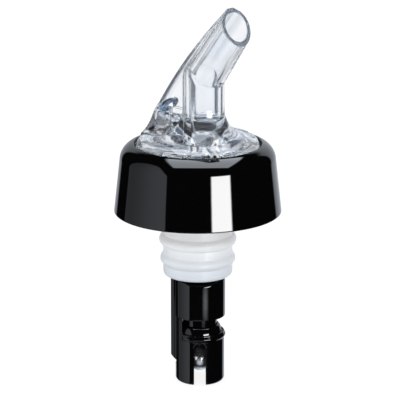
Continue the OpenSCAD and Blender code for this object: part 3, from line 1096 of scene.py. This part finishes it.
    def air_way(self, p: Array) -> Array:
        """Way of the air: groove, gallery, the bush's seat, the vent ball's chamber, the duct and the scoops.

        Args:
            p: points, as rows.
        Returns:
            The field at the points.
        """
        x, y, z = np.moveaxis(p, -1, 0)
        post, low = np.hypot(x - self.post_x, y), self.gallery_top - self.overlap
        gallery = common(np.hypot(x, y) - self.gallery_r, z - self.gallery_top,
                         self.spigot_r - upright_rod(p, *self.barrel, 0), self.deck_z - self.overlap - z)
        groove = np.maximum(upright_rod(p, *self.groove, self.groove_r), z - self.gallery_top)
        bush = np.maximum(post - self.bush_r, between(z, low, self.bush_top))
        dome = np.maximum(z - self.chamber_top + self.chamber_r, 0)
        chamber = np.maximum(np.hypot(post, dome) - self.chamber_r, low - z)
        duct = np.maximum(post - self.duct_r,
                          between(z, self.chamber_top - self.overlap, self.base_top + self.scoop_h))
        return union(gallery, groove, bush, chamber, duct, self.scoops(p))

    def solid(self, p: Array) -> Array:
        """Whole spout: the body less its two ways, cut on the slant at the mouth.

        Args:
            p: points, as rows.
        Returns:
            The field at the points.
        """
        n, reach = self.rim()
        ways = np.minimum(self.drink_way(p), self.air_way(p))
        mouth = p[..., 0] * n[0] + p[..., 2] * n[2] - reach
        return soft_max(soft_max(self.body(p), -ways, self.hole_edge), mouth, self.mouth_edge)

    def follow(self, p: Array) -> Array:
        """Points moved along +X by the tube's slope times their height above the bend."""
        shift = math.tan(self.lean) * np.maximum(p[..., 2] - self.bend_z, 0)
        return np.stack([p[..., 0] + shift, p[..., 1], p[..., 2]], -1)

    def finish(self) -> ClearPlastic:
        """Clear finish, with its satin places and its places of painted shade taken from the spout's own
        sizes.

        Returns:
            The finish.
        """
        rim_axis, rim_reach = self.rim()
        return ClearPlastic(
            "clear_moulding", (0.95, 0.968, 0.992), (0.93, 0.952, 0.985), (0.0, 0.05),
            {"Transmission Weight": 0.985, "IOR": 1.49},
            rim_axis=rim_axis, rim_reach=rim_reach * MM,
            vent_at=metres(self.scoop_x, self.base_top + self.scoop_h),
            vent_half=metres(self.scoop_len / 2, self.scoop_w / 2, self.scoop_depth),
            vent_slope=self.scoop_slope, vent_face=self.fin_t / 2 * MM,
            bend_at=metres(self.neck_x, self.bend_z), bend_lean=self.lean,
            fin_off=-self.neck_r * MM, bore_r=self.tube_bore_r * MM,
            core_at=metres(self.post_x, self.chamber_top + self.core_margin[1]),
            core_r=(self.bush_r + self.core_margin[0]) * MM,
            seat_z=metres(self.spigot_z - self.satin_margin[0], self.seat_top + self.satin_margin[1]),
            ridge_at=metres(*self.ridge_centre().tolist()), ridge_r=self.ridge_r * MM,
            ridge_z=metres(*self.satin_ridge))

    def build(self, dresser: Dresser, finish: Finish) -> None:
        """Makes the spout's skin on a grid that follows the tube, and dresses it.

        Args:
            dresser: joins the piece to the frame.
            finish: its surface.
        """
        low = (-self.base_r, -self.base_r, self.spigot_z)
        high = (self.base_r, self.base_r, float(self.tube_end()[1]) + self.mouth_r)
        skin = net(self.solid, low, high, self.pitch, self.follow)
        dresser.dress(new_piece("clear_spout", *skin), "pour_spout", finish)


@dataclass
class Collar:
    """Gloss black collar: drafted skirt, round shoulder, bevelled lip and the web inside."""

    rim_r: float = 22.0
    rim_z: float = 46.5
    rim_edges: Pair = (0.3, 0.35)
    top_r: float = 20.45
    shoulder_z: float = 60.5
    shoulder_r: float = 4.6
    shoulder_steps: int = 40
    lip_r: float = 16.8
    lip_z: float = 65.1
    lip_depth: float = 1.2
    lip_edge: float = 0.22
    lip_steps: int = 5
    seat_r: float = 16.25
    seat_edges: Pair = (0.15, 0.2)
    wall: float = 1.9
    web_z: float = 56.0
    web_top: float = WEB_TOP
    web_edge: float = 0.4
    hole_r: float = 9.2
    hole_edge: float = 0.15
    columns: int = 256

    def section(self) -> Array:
        """Closed section: up the outside, over the shoulder, down the seat, along the web and down the skirt.

        The shoulder's arc starts where a straight line from the rim touches it, and the lip's round takes the
        place of its last points.

        Returns:
            Rows of radius and height.
        """
        centre = self.top_r - self.shoulder_r
        across, down = self.rim_r - centre, self.rim_z - self.shoulder_z
        start = math.atan2(down, across) + math.acos(self.shoulder_r / math.hypot(across, down))
        end = math.acos((self.lip_r - centre) / self.shoulder_r)
        a = np.linspace(start, end, self.shoulder_steps)
        arc = on_circle(centre, self.shoulder_z, self.shoulder_r, a)
        skirt_r = self.rim_r - self.wall
        draft = (self.rim_r - self.top_r) / (self.shoulder_z - self.rim_z)
        rim = rounded_loop([
            (skirt_r, self.rim_z, self.rim_edges[0]), (self.rim_r, self.rim_z, self.rim_edges[1]),
            (*arc[0], 0.0), (self.hole_r, self.web_top, 0.0)])
        inside = rounded_loop([
            (*arc[-self.lip_steps - 1], 0.0), (*arc[-1], self.lip_edge),
            (self.seat_r, self.lip_z - self.lip_depth, self.seat_edges[0]),
            (self.seat_r, self.web_top, self.seat_edges[1]),
            (self.hole_r, self.web_top, self.hole_edge), (self.hole_r, self.web_z, self.hole_edge),
            (skirt_r - draft * (self.web_z - self.rim_z), self.web_z, self.web_edge)])
        return np.concatenate([rim[:2 * ARC_STEPS], arc[:-self.lip_steps], inside[ARC_STEPS:]])

    def build(self, dresser: Dresser, finish: Finish) -> None:
        """Turns the section round the axis and dresses it."""
        dresser.dress(turned("black_collar", self.section(), self.columns), "collar", finish)


@dataclass
class Stopper:
    """Frosted ribbed stopper with a flange under the spout's base."""

    low_z: float = STOPPER_LOW
    body_r: float = 9.15
    bore_r: float = 7.35
    bore_edges: Pair = (0.2, 0.25)
    edge_r: float = 1.2
    edge_steps: int = 11
    rib_r: float = 1.5
    rib_first_r: float = 9.9
    rib_step: float = 0.3
    rib_count: int = 4
    rib_first: float = 4.6
    rib_pitch: float = 5.2
    rib_root: float = 0.5
    side_rows: int = 300
    web_top: float = WEB_TOP
    web_edge: float = 0.25
    web_gap: float = 0.4
    web_run: float = 1.0
    flange_r: float = 15.7
    flange_edge: float = 0.3
    deck_z: float = DECK_Z
    columns: int = 224

    def side(self, z: Array) -> Array:
        """Radius of the body, with a round bulge and soft roots at each rib.

        At the distance d from its middle, a rib adds its circle's own width, c + sqrt(r * r - d * d).

        Args:
            z: heights.
        Returns:
            The radius at each height.
        """
        r = np.full_like(z, self.body_r)
        for i in range(self.rib_count):
            d = z - self.low_z - self.rib_first - i * self.rib_pitch
            inside = np.maximum(self.rib_r ** 2 - d * d, 0)
            bulge = self.rib_first_r + i * self.rib_step - self.rib_r + np.sqrt(inside)
            r = np.where(inside > 0, soft_max(r, bulge, self.rib_root), r)
        return r

    def section(self) -> Array:
        """Closed section: a quarter round at the foot, up the ribs, round the flange and down the bore.

        Returns:
            Rows of radius and height.
        """
        a = np.linspace(-np.pi / 2, 0, self.edge_steps, endpoint=False)
        edge = on_circle(self.body_r - self.edge_r, self.low_z + self.edge_r, self.edge_r, a)
        z = np.linspace(self.low_z + self.edge_r, self.web_top - self.web_gap, self.side_rows)
        ribs = np.stack([self.side(z), z], -1)
        rest = rounded_loop([
            (self.body_r, self.web_top - self.web_run, 0.0), (self.body_r, self.web_top, self.web_edge),
            (self.flange_r, self.web_top, self.flange_edge), (self.flange_r, self.deck_z, self.flange_edge),
            (self.bore_r, self.deck_z, self.bore_edges[0]), (self.bore_r, self.low_z, self.bore_edges[1])])
        return np.concatenate([edge, ribs, rest[ARC_STEPS:]])

    def build(self, dresser: Dresser, finish: Finish) -> None:
        """Turns the section round the axis and dresses it."""
        dresser.dress(turned("frosted_stopper", self.section(), self.columns), "cork", finish)


@dataclass
class Tail:
    """Black tail: cage, window, barrel and neck, turned about the stopper's axis."""

    turn: float = TAIL_TURN
    offset: float = BARREL_OFFSET
    barrel_r: float = 6.7
    barrel_bore_r: float = 5.65
    neck_r: float = 7.3
    neck_top: float = TAIL_TOP
    cage_r: float = 6.45
    cage_h: float = 13.4
    cage_edge_r: float = 1.0
    rim_t: float = 0.35
    bead_r: float = 6.2
    bead_z: float = 12.8
    bead_t: float = 0.6
    bead_edge: float = 0.2
    bead_fillet: float = 0.3
    dome_r: float = 5.75
    dome_top_r: float = 4.65
    dome_h: float = 2.3
    dome_fillet: float = 0.2
    dome_gap: float = 0.4
    window_top: float = 18.0
    window_depth: float = 4.6
    cork_z: float = STOPPER_LOW
    mouth_r: float = 4.8
    lip_r: float = 3.3
    lip_z: float = 4.253
    lip_h: float = 1.6
    cage_bore_r: float = 4.37
    roof_z: float = 11.9
    port_r: float = 2.5
    socket_r: float = SLEEVE_SOCKET_R
    socket_z: float = SLEEVE_LOW
    slot_w: float = 3.05
    slot_top: float = 11.8
    saddle_r: float = 17.0
    saddle_depth: float = 1.7
    saddle_half_w: float = 5.9
    saddle_rise: float = 0.6
    saddle_bevel: float = 1.2
    vent_r: float = VENT_OFFSET
    vent_z: float = VENT_LOW
    groove_r: float = VENT_GROOVE_R
    edge: float = 0.32
    overlap: float = 1.0
    split_z: float = 32.0
    seen_pitch: float = 0.21
    hidden_pitch: float = 0.4

    def own(self, p: Array) -> tuple[Array, Array, Array]:
        """Place in the tail's own axes, from the stopper's axis."""
        s, c = math.sin(self.turn), math.cos(self.turn)
        return p[..., 0] * c + p[..., 1] * s, p[..., 1] * c - p[..., 0] * s, p[..., 2]

    def cage(self, r: Array, z: Array) -> Array:
        """Outside of the cage: a can with a rounded foot, a thin raised rim and a dome with an elliptic edge.

        Args:
            r: lengths from the barrel's axis.
            z: heights.
        Returns:
            The field at the places.
        """
        can = soft_max(round_edge(r - self.cage_r, -z, self.cage_edge_r), z - self.cage_h, self.edge)
        rim = np.maximum(between(r, self.cage_r - self.rim_t, self.cage_r),
                         between(z, self.cage_h - self.overlap, self.cage_h + self.rim_t))
        wide = self.dome_r - self.dome_top_r
        u, v = np.maximum(r - self.dome_top_r, 0) / wide, np.maximum(z - self.cage_h, 0) / self.dome_h
        dome = np.maximum((np.hypot(u, v) - 1) * wide, self.cage_h - self.overlap - z)
        return soft_min(np.minimum(can, rim), dome, self.dome_fillet)

    def hollow(self, r: Array, z: Array) -> Array:
        """Cage's mouth, lip, ball space and port, the sleeve's socket and the barrel's bore.

        Args:
            r: lengths from the barrel's axis.
            z: heights.
        Returns:
            The field at the places.
        """
        low = self.lip_z - self.lip_h
        taper = self.lip_r + (self.mouth_r - self.lip_r) * np.clip(1 - z / low, 0, 2)
        mouth = np.maximum(r - taper, z - low)
        land = np.maximum(r - self.lip_r, z - self.roof_z)
        ramp = np.minimum(self.lip_r + np.maximum(z - self.lip_z, 0), self.cage_bore_r)
        space = np.maximum(r - ramp, between(z, self.lip_z, self.roof_z))
        port = np.maximum(r - self.port_r, z - self.socket_z - self.overlap)
        socket = np.maximum(r - self.socket_r, self.socket_z - z)
        bore = np.maximum(r - self.barrel_bore_r, self.cage_h + self.dome_h + self.dome_gap - z)
        return union(mouth, land, space, port, socket, bore)

    def solid(self, p: Array) -> Array:
        """Whole tail: cage, bead, strut, barrel and neck, less the hollows, slot, saddle and groove.

        Args:
            p: points, as rows.
        Returns:
            The field at the points.
        """
        x, y, z = self.own(p)
        q = x - self.offset
        r = np.hypot(q, y)
        barrel = soft_max(r - self.barrel_r, between(z, self.window_top, self.cork_z), self.edge)
        neck = np.maximum(np.hypot(x, y) - self.neck_r, between(z, self.cork_z, self.neck_top))
        strut = np.maximum(soft_max(r - self.cage_r, q + self.window_depth, self.edge),
                           between(z, self.cage_h - self.overlap, self.window_top + self.overlap))
        bead = np.hypot(r - self.bead_r, z - self.bead_z) - self.bead_t
        bead = soft_max(bead, -q - self.window_depth, self.bead_edge)
        cage = soft_min(self.cage(r, z), bead, self.bead_fillet)
        half = self.slot_w / 2
        slot = np.hypot(q, np.maximum(z - self.slot_top + half, 0)) - half
        bevel = np.clip(self.barrel_r - r, 0, self.saddle_bevel)
        middle = self.cork_z - self.saddle_depth + self.saddle_r + bevel
        saddle = common(np.hypot(q, z - middle) - self.saddle_r, np.abs(q) - self.saddle_half_w,
                        z - self.cork_z - self.saddle_rise)
        groove = np.maximum(np.hypot(x + self.vent_r, y) - self.groove_r, self.vent_z - z)
        cuts = union(slot, saddle, self.hollow(r, z))
        return np.maximum(soft_max(union(barrel, cage, neck, strut), -cuts, self.edge), -groove)

    def lower(self, p: Array) -> Array:
        """Part of the tail up to a level inside the stopper."""
        return np.maximum(self.solid(p), p[..., 2] - self.split_z)

    def upper(self, p: Array) -> Array:
        """Rest of the tail above that level."""
        return np.maximum(self.solid(p), self.split_z - p[..., 2])

    def build(self, dresser: Dresser, finish: Finish) -> None:
        """Makes the seen part with fine cells and the hidden neck with coarse ones, and dresses both.

        Args:
            dresser: joins the pieces to the frame.
            finish: their surface.
        """
        w = self.neck_r
        for name, part, low, high, pitch in (
                ("tail_barrel_and_cage", self.lower, 0.0, self.split_z, self.seen_pitch),
                ("tail_neck", self.upper, self.split_z, self.neck_top, self.hidden_pitch)):
            skin = net(part, (-w, -w, low), (w, w, high), pitch)
            dresser.dress(new_piece(name, *skin), "tail_body", finish)


@dataclass
class Sleeve:
    """Black metering sleeve with flow ports near its upper end."""

    tail: Tail
    low_z: float = SLEEVE_LOW
    top_z: float = SLEEVE_TOP
    r: float = 4.5
    edge: float = 0.3
    bore_r: float = SLEEVE_BORE_R
    foot_t: float = 1.2
    port_r: float = 2.3
    ports_low: float = 44.3
    ports_top: float = 50.3
    ports_w: float = 2.4
    hole_edge: float = 0.2
    pitch: float = 0.36

    def solid(self, p: Array) -> Array:
        """Tube with a holed foot, cut by two crossed slots that make the four ports.

        Args:
            p: points, as rows.
        Returns:
            The field at the points.
        """
        x, y, z = self.tail.own(p)
        q = x - self.tail.offset
        r = np.hypot(q, y)
        tube = soft_max(r - self.r, between(z, self.low_z, self.top_z), self.edge)
        bore = np.minimum(np.maximum(r - self.bore_r, self.low_z + self.foot_t - z), r - self.port_r)
        level = between(z, self.ports_low, self.ports_top)
        cross = np.minimum(np.abs(q + y), np.abs(q - y)) / math.sqrt(2) - self.ports_w / 2
        return soft_max(soft_max(tube, -bore, self.hole_edge), -np.maximum(cross, level), self.hole_edge)

    def build(self, dresser: Dresser, finish: Finish) -> None:
        """Makes the sleeve's skin and dresses it.

        Args:
            dresser: joins the piece to the frame.
            finish: its surface.
        """
        w = self.r + self.tail.offset
        skin = net(self.solid, (-w, -w, self.low_z), (w, w, self.top_z), self.pitch)
        dresser.dress(new_piece("black_sleeve", *skin), "metering_sleeve", finish)


@dataclass
class VentTube:
    """Thin black tube along the tail, cut on the slant at its lower end."""

    tail: Tail
    r: float = 1.2
    bore_r: float = 0.7
    edge: float = 0.08
    edge_steps: int = 5
    low_z: float = VENT_LOW
    top_z: float = TAIL_TOP
    section_h: float = 50.0
    slope: float = 1.0
    columns: int = 48

    def build(self, dresser: Dresser, finish: Finish) -> None:
        """Makes a wall that closes on itself, whose lower rim rises across the tube, and dresses it.

        A point at share t of the height is at top * t + rim * (1 - t), where the rim is at
        low + slope * (r - r cos a).

        Args:
            dresser: joins the piece to the frame.
            finish: its surface.
        """
        corners = ((self.bore_r, 0), (self.r, 0), (self.r, self.section_h), (self.bore_r, self.section_h))
        loop = rounded_loop([(*corner, self.edge) for corner in corners], self.edge_steps)
        a = np.linspace(0, 2 * np.pi, self.columns, endpoint=False)
        r, share = loop[:, :1], np.clip(loop[:, 1:] / self.section_h, 0, 1)
        rim = self.low_z + self.slope * (self.r - r * np.cos(a))
        z = rim * (1 - share) + self.top_z * share
        s, c = math.sin(self.tail.turn), math.cos(self.tail.turn)
        x, y = r * np.cos(a) - self.tail.vent_r, r * np.sin(a)
        points = np.stack([x * c - y * s, x * s + y * c, z], -1).reshape(-1, 3)
        piece = new_piece("black_vent_tube", points, loop_grid(len(loop), self.columns))
        dresser.dress(piece, "vent_tube", finish)


@dataclass
class VentBush:
    """Small clear bush that the vent ball rests on."""

    x: float = POST_X
    low_z: float = GALLERY_TOP
    top_z: float = BUSH_TOP
    r: float = 1.9
    bore_r: float = 0.8
    edge: float = 0.15
    seat_edge: float = 0.1
    columns: int = 64

    def build(self, dresser: Dresser, finish: Finish) -> None:
        """Turns a rounded section round the bush's own axis and dresses it."""
        loop = rounded_loop([(self.bore_r, self.low_z, self.edge), (self.r, self.low_z, self.edge),
                             (self.r, self.top_z, self.edge), (self.bore_r, self.top_z, self.seat_edge)])
        dresser.dress(turned("clear_bush", loop, self.columns, self.x), "vent_bush", finish)


@dataclass
class Balls:
    """The three steel balls of the valves, each with the height of its middle and its radius."""

    barrel: Pair = on_tail(BARREL_OFFSET)
    post_x: float = POST_X
    timing: Pair = (17.529, 3.175)
    dump: Pair = (6.5, 3.97)
    air: Pair = (64.321, 1.19)

    def build(self, dresser: Dresser, finish: Finish) -> None:
        """Makes each ball in its place and lets it ride on its own body.

        Args:
            dresser: joins the pieces to the frame.
            finish: their surface.
        """
        for name, node, body, at, (z, r) in (
                ("steel_timing_ball", "metering_ball", Body.TIMING_BALL, self.barrel, self.timing),
                ("steel_cage_ball", "cage_ball", Body.DUMP_BALL, self.barrel, self.dump),
                ("steel_vent_ball", "vent_ball", Body.AIR_BALL, (self.post_x, 0.0), self.air)):
            dresser.dress(globe(name, (*at, z), r), node, finish, body)


# Studio

@dataclass(frozen=True)
class Sky:
    """Directions round the object, as its front side sees them.

    A direction's turn is its angle from the front to the right, and its rise is its height, both in degrees.
    """

    g: Graph
    right: Val
    near: Val
    up: Val
    turn: Val
    rise: Val

    @classmethod
    def facing(cls, g: Graph, azimuth: float) -> "Sky":
        """Sky whose front is at an angle round the object.

        Args:
            g: the world's graph.
            azimuth: the front's angle, from -Y towards +X.
        Returns:
            The sky's values.
        """
        way = g.node("ShaderNodeTexCoord", {}, {}, "Generated")
        s, c = math.sin(azimuth), math.cos(azimuth)
        right, near, up = (g.along(way, axis) for axis in ((c, s, 0), (s, -c, 0), UP))
        turn, rise = g.math("ARCTAN2", right, near), g.math("ARCSINE", up)
        return cls(g, right, near, up, turn * math.degrees(1), rise * math.degrees(1))


@dataclass(frozen=True)
class Reflections:
    """What gloss reflects: a dark room with a sweep, a strip, a glint, a side panel, a soft box and a table.

    Limits are degrees of turn and rise, and a third number is the width of a soft edge. The soft box's are
    lengths at a height of 1 above the object.
    """

    dark: float = 0.003
    sweep_gain: float = 0.6
    sweep_right: Pair = (133, 139)
    sweep_right_gain: float = 1.4
    sweep_left: Pair = (-152, -146)
    sweep_top: Pair = (27, 37)
    strip_gain: float = 24
    strip_turn: Triple = (19.2, 47, 1.6)
    strip_foot: Pair = (-14, -8)
    strip_top: Pair = (-3.5, 3)
    glint_gain: float = 4
    glint_turn: Triple = (16, 34, 8)
    glint_rise: Triple = (-18.0, -17.5, 0.25)
    arch_turn: float = -81
    arch_top: float = 40
    arch_fall: Pair = (0.0185, 1.2e-5)
    arch_edge: Pair = (-3, 3)
    waist: float = -3.5
    panel_left: Pair = (-123, -120)
    panel_left_slopes: Pair = (0.5, 2.3)
    panel_right: Pair = (-42, -40)
    panel_right_slope: float = 0.57
    panel_fade: Pair = (-118, -45)
    panel_levels: Pair = (0.27, 0.75)
    box_gain: float = 5.2
    box_least_up: float = 0.02
    box_left: Pair = (-0.5, -0.42)
    box_right: Pair = (0.65, 0.73)
    box_slopes: Pair = (0.282, 0.3)
    box_deep: Triple = (-0.8, 0.6, 0.06)
    table_gain: float = 0.7
    table_rise: Triple = (-60, -21, 2)
    table_half: Pair = (25, 45)

    def sweep(self, sky: Sky) -> Val:
        """White sweep behind the object, to the right and the left of its back, up to a height."""
        right, left = sky.turn.step(*self.sweep_right), 1 - sky.turn.step(*self.sweep_left)
        return (self.sweep_right_gain * right + left) * (1 - sky.rise.step(*self.sweep_top))

    def strip(self, sky: Sky) -> Val:
        """Strip lamp to the right of the front, from a foot to a top with soft edges."""
        tall = sky.rise.step(*self.strip_foot) * (1 - sky.rise.step(*self.strip_top))
        return sky.turn.band(*self.strip_turn) * tall

    def panel(self, sky: Sky) -> Val:
        """Grey panel on the left: an arch on top, sides that slope from a waist, and a fade towards the back.

        The arch falls from its top by d * (a + b * d), where d is the square of the turn from its middle.

        Args:
            sky: the directions.
        Returns:
            The panel's brightness.
        """
        off = (sky.turn - self.arch_turn) * (sky.turn - self.arch_turn)
        arch = self.arch_top - off * (self.arch_fall[0] + self.arch_fall[1] * off)
        low = sky.rise - self.waist
        above, below = sky.g.math("MAXIMUM", low, 0), sky.g.math("MINIMUM", low, 0)
        left = sky.turn + self.panel_left_slopes[0] * above - self.panel_left_slopes[1] * below
        right = sky.turn - self.panel_right_slope * low
        shape = left.step(*self.panel_left) * (1 - right.step(*self.panel_right))
        level = self.panel_levels[0] + self.panel_levels[1] * sky.turn.step(*self.panel_fade)
        return shape * (1 - (sky.rise - arch).step(*self.arch_edge)) * level

    def box(self, sky: Sky) -> Val:
        """Soft box above the object: a level sheet that is narrower towards the back.

        Args:
            sky: the directions.
        Returns:
            The mask.
        """
        height = sky.g.math("MAXIMUM", sky.up, self.box_least_up)
        wide, deep = sky.right / height, sky.near / height
        left = (wide + self.box_slopes[0] * deep).step(*self.box_left)
        right = 1 - (wide - self.box_slopes[1] * deep).step(*self.box_right)
        return left * right * deep.band(*self.box_deep)

    def level(self, sky: Sky) -> Val:
        """Brightness of all that gloss reflects.

        Args:
            sky: the directions.
        Returns:
            The sum of the dark room and its lamps.
        """
        glint = sky.turn.band(*self.glint_turn) * sky.rise.band(*self.glint_rise)
        table = sky.rise.band(*self.table_rise) * (1 - abs(sky.turn).step(*self.table_half))
        return (self.dark + self.sweep_gain * self.sweep(sky) + self.strip_gain * self.strip(sky)
                + self.glint_gain * glint + self.panel(sky)
                + self.box_gain * self.box(sky) + self.table_gain * table)


@dataclass(frozen=True)
class DarkCards:
    """Dark cards that only show through clear plastic, and give its edges their lines.

    Limits are degrees of turn and rise, and a third number is the width of a soft edge.
    """

    back: Triple = (142, 166, 2)
    back_share: float = 0.88
    back_foot: Pair = (-32, -22)
    back_foot_share: float = 0.4
    side: Triple = (76, 97, 2)
    side_share: float = 0.8
    side_top: Pair = (14, 22)
    far: Triple = (-160, -138, 3)
    far_share: float = 0.3
    raised: tuple[Triple, ...] = ((15, 45, 2), (-58, -30, 2), (-118, -92, 2), (116, 136, 2))
    flag_turn: Triple = (-177, -150, 2)
    flag_rise: Triple = (11, 23, 2)
    raised_from: Pair = (-6, 2)
    raised_levels: Pair = (0.12, 0.76)
    raised_top: Pair = (42, 52)
    raised_top_share: float = 0.5

    def clear(self, sky: Sky) -> Val:
        """Share of white between the low cards round the back and side and the raised cards all round.

        Args:
            sky: the directions.
        Returns:
            1 where no card stands, and less on a card.
        """
        foot = self.back_foot_share + (1 - self.back_foot_share) * sky.rise.step(*self.back_foot)
        low = (self.back_share * sky.turn.band(*self.back) * foot
               + self.side_share * sky.turn.band(*self.side) * (1 - sky.rise.step(*self.side_top))
               + self.far_share * sky.turn.band(*self.far))
        raised = sum(sky.turn.band(*limits) for limits in self.raised)
        raised = raised + sky.turn.band(*self.flag_turn) * sky.rise.band(*self.flag_rise)
        raised = sky.rise.step(*self.raised_from) * (self.raised_levels[0] + self.raised_levels[1] * raised)
        return (1 - low) * (1 - raised * (1 - self.raised_top_share * sky.rise.step(*self.raised_top)))


@dataclass
class Studio:
    """Camera, pale floor and soft light."""

    azimuth: float = math.radians(47)
    away: float = 680.0
    height: float = 238.9
    dip: float = math.radians(15.57)
    sensor: float = 36.0
    lens: float = 242.28
    shift: float = 0.0055
    clip: Pair = (0.01, 100.0)
    floor_half: float = 6000.0
    floor_greys: Pair = (0.17, 0.19)
    floor_grain: Grain = Grain(40)
    floor_glow: Pair = (0.45, 0.41)
    fill: float = 0.9
    fill_sides: float = 0.45
    fill_sides_rise: Pair = (20, 45)
    fill_front: float = 0.4
    fill_front_turn: Pair = (50, 100)
    white: Triple = (1.0, 1.0, 1.0)
    cool: Triple = (0.93, 1.0, 1.09)
    card_colour: Triple = (0.0, 0.03, 0.09)

    def camera(self) -> None:
        """Puts the camera at the photograph's place and angle."""
        data = bpy.data.cameras.new("photo_camera")
        data.sensor_width, data.lens, data.shift_x = self.sensor, self.lens, self.shift
        data.clip_start, data.clip_end = self.clip
        made = bpy.data.objects.new("photo_camera", data)
        s, c = math.sin(self.azimuth), math.cos(self.azimuth)
        made.location = metres(self.away * s, -self.away * c, self.height)
        made.rotation_euler = (math.pi / 2 - self.dip, 0, self.azimuth)
        bpy.context.scene.collection.objects.link(made)
        bpy.context.scene.camera = made

    def floor(self) -> None:
        """Lays a pale floor that shows white to the camera and keeps the soft shadow."""
        h = self.floor_half
        corners = np.array([(-h, -h, 0), (h, -h, 0), (h, h, 0), (-h, h, 0)], float)
        made = new_piece("floor", corners, np.array([[0, 1, 2, 3]]))
        paint = bpy.data.materials.new("pale_floor")
        g = Graph(paint)
        grey = g.blend(g.noise(self.floor_grain), *((level,) * 3 for level in self.floor_greys))
        matt = g.node("ShaderNodeBsdfDiffuse", {}, {"Color": grey})
        seen = g.node("ShaderNodeLightPath", {}, {}, "Is Camera Ray")
        glow = g.node("ShaderNodeEmission", {}, {"Color": (*self.white, 1.0),
                                                 "Strength": self.floor_glow[0] + self.floor_glow[1] * seen})
        both = g.node("ShaderNodeAddShader", {}, {0: matt, 1: glow})
        g.node("ShaderNodeOutputMaterial", {}, {"Surface": both})
        made.data.materials.append(paint)
        made.visible_glossy = False
        made.visible_transmission = False

    def light(self) -> None:
        """Lights the object by its world: soft fill for matt, lamps for gloss, white and cards for clear."""
        world = bpy.data.worlds.new("studio")
        bpy.context.scene.world = world
        g = Graph(world)
        sky = Sky.facing(g, self.azimuth)
        lamps = Reflections()
        soft = (self.fill + self.fill_sides * (1 - abs(sky.rise).step(*self.fill_sides_rise))
                + self.fill_front * (1 - abs(sky.turn).step(*self.fill_front_turn)))
        glossy, through, seen, lit = (g.node("ShaderNodeLightPath", {}, {}, name) for name in (
            "Is Glossy Ray", "Is Transmission Ray", "Is Camera Ray", "Diffuse Depth"))
        through = through * (1 - g.math("MINIMUM", lit, 1))
        level = soft + glossy * (lamps.level(sky) - soft)
        level = level + (1 - level) * (seen + through - seen * through)
        tint = g.blend(glossy * (1 - lamps.strip(sky)), self.white, self.cool)
        tint = g.blend(through, tint, g.blend(DarkCards().clear(sky), self.card_colour, self.white))
        tint = g.blend(seen, tint, self.white)
        backdrop = g.node("ShaderNodeBackground", {}, {"Color": tint, "Strength": level})
        g.node("ShaderNodeOutputWorld", {}, {"Surface": backdrop})


def main() -> None:
    """Builds every piece in order, then the studio."""
    logging.basicConfig(level=logging.INFO, format="%(name)s: %(message)s")
    scene = bpy.context.scene
    scene.view_settings.view_transform = "Standard"
    scene.cycles.max_bounces = scene.cycles.glossy_bounces = scene.cycles.transmission_bounces = 32
    dresser, spout, tail = Dresser(), Spout(), Tail()
    clear = spout.finish()
    dust, moulding = (0.03, 0.03, 0.032), {"IOR": 1.49}
    collar = BlackPlastic("black_collar_gloss", (0.0012, 0.0012, 0.0013), dust, (0.02, 0.05), moulding)
    black = BlackPlastic("black_tail_gloss", (0.0014, 0.0014, 0.0015), dust, (0.03, 0.07), moulding)
    cloudy = {"Subsurface Weight": 0.4, "Subsurface Radius": (1.0, 1.0, 1.0), "Subsurface Scale": 0.0005}
    # Painted shade: the first colour is the stopper's darker lower end, the second its pale colour above
    frosted = FrostedPlastic("frosted_moulding", (0.64, 0.69, 0.75), (0.96, 0.975, 0.995), (0.3, 0.45),
                             cloudy, painted_shade_heights=metres(29, 41))
    steel = PolishedSteel("polished_steel", (0.72, 0.73, 0.75), (0.6, 0.6, 0.61), (0.24, 0.34),
                          {"Metallic": 1.0})
    for part, finish in ((spout, clear), (Collar(), collar), (Stopper(), frosted), (tail, black),
                         (Sleeve(tail), black), (VentTube(tail), black), (VentBush(), clear),
                         (Balls(), steel)):
        part.build(dresser, finish)
    studio = Studio()
    studio.camera()
    studio.floor()
    studio.light()


if __name__ == "__main__":
    main()
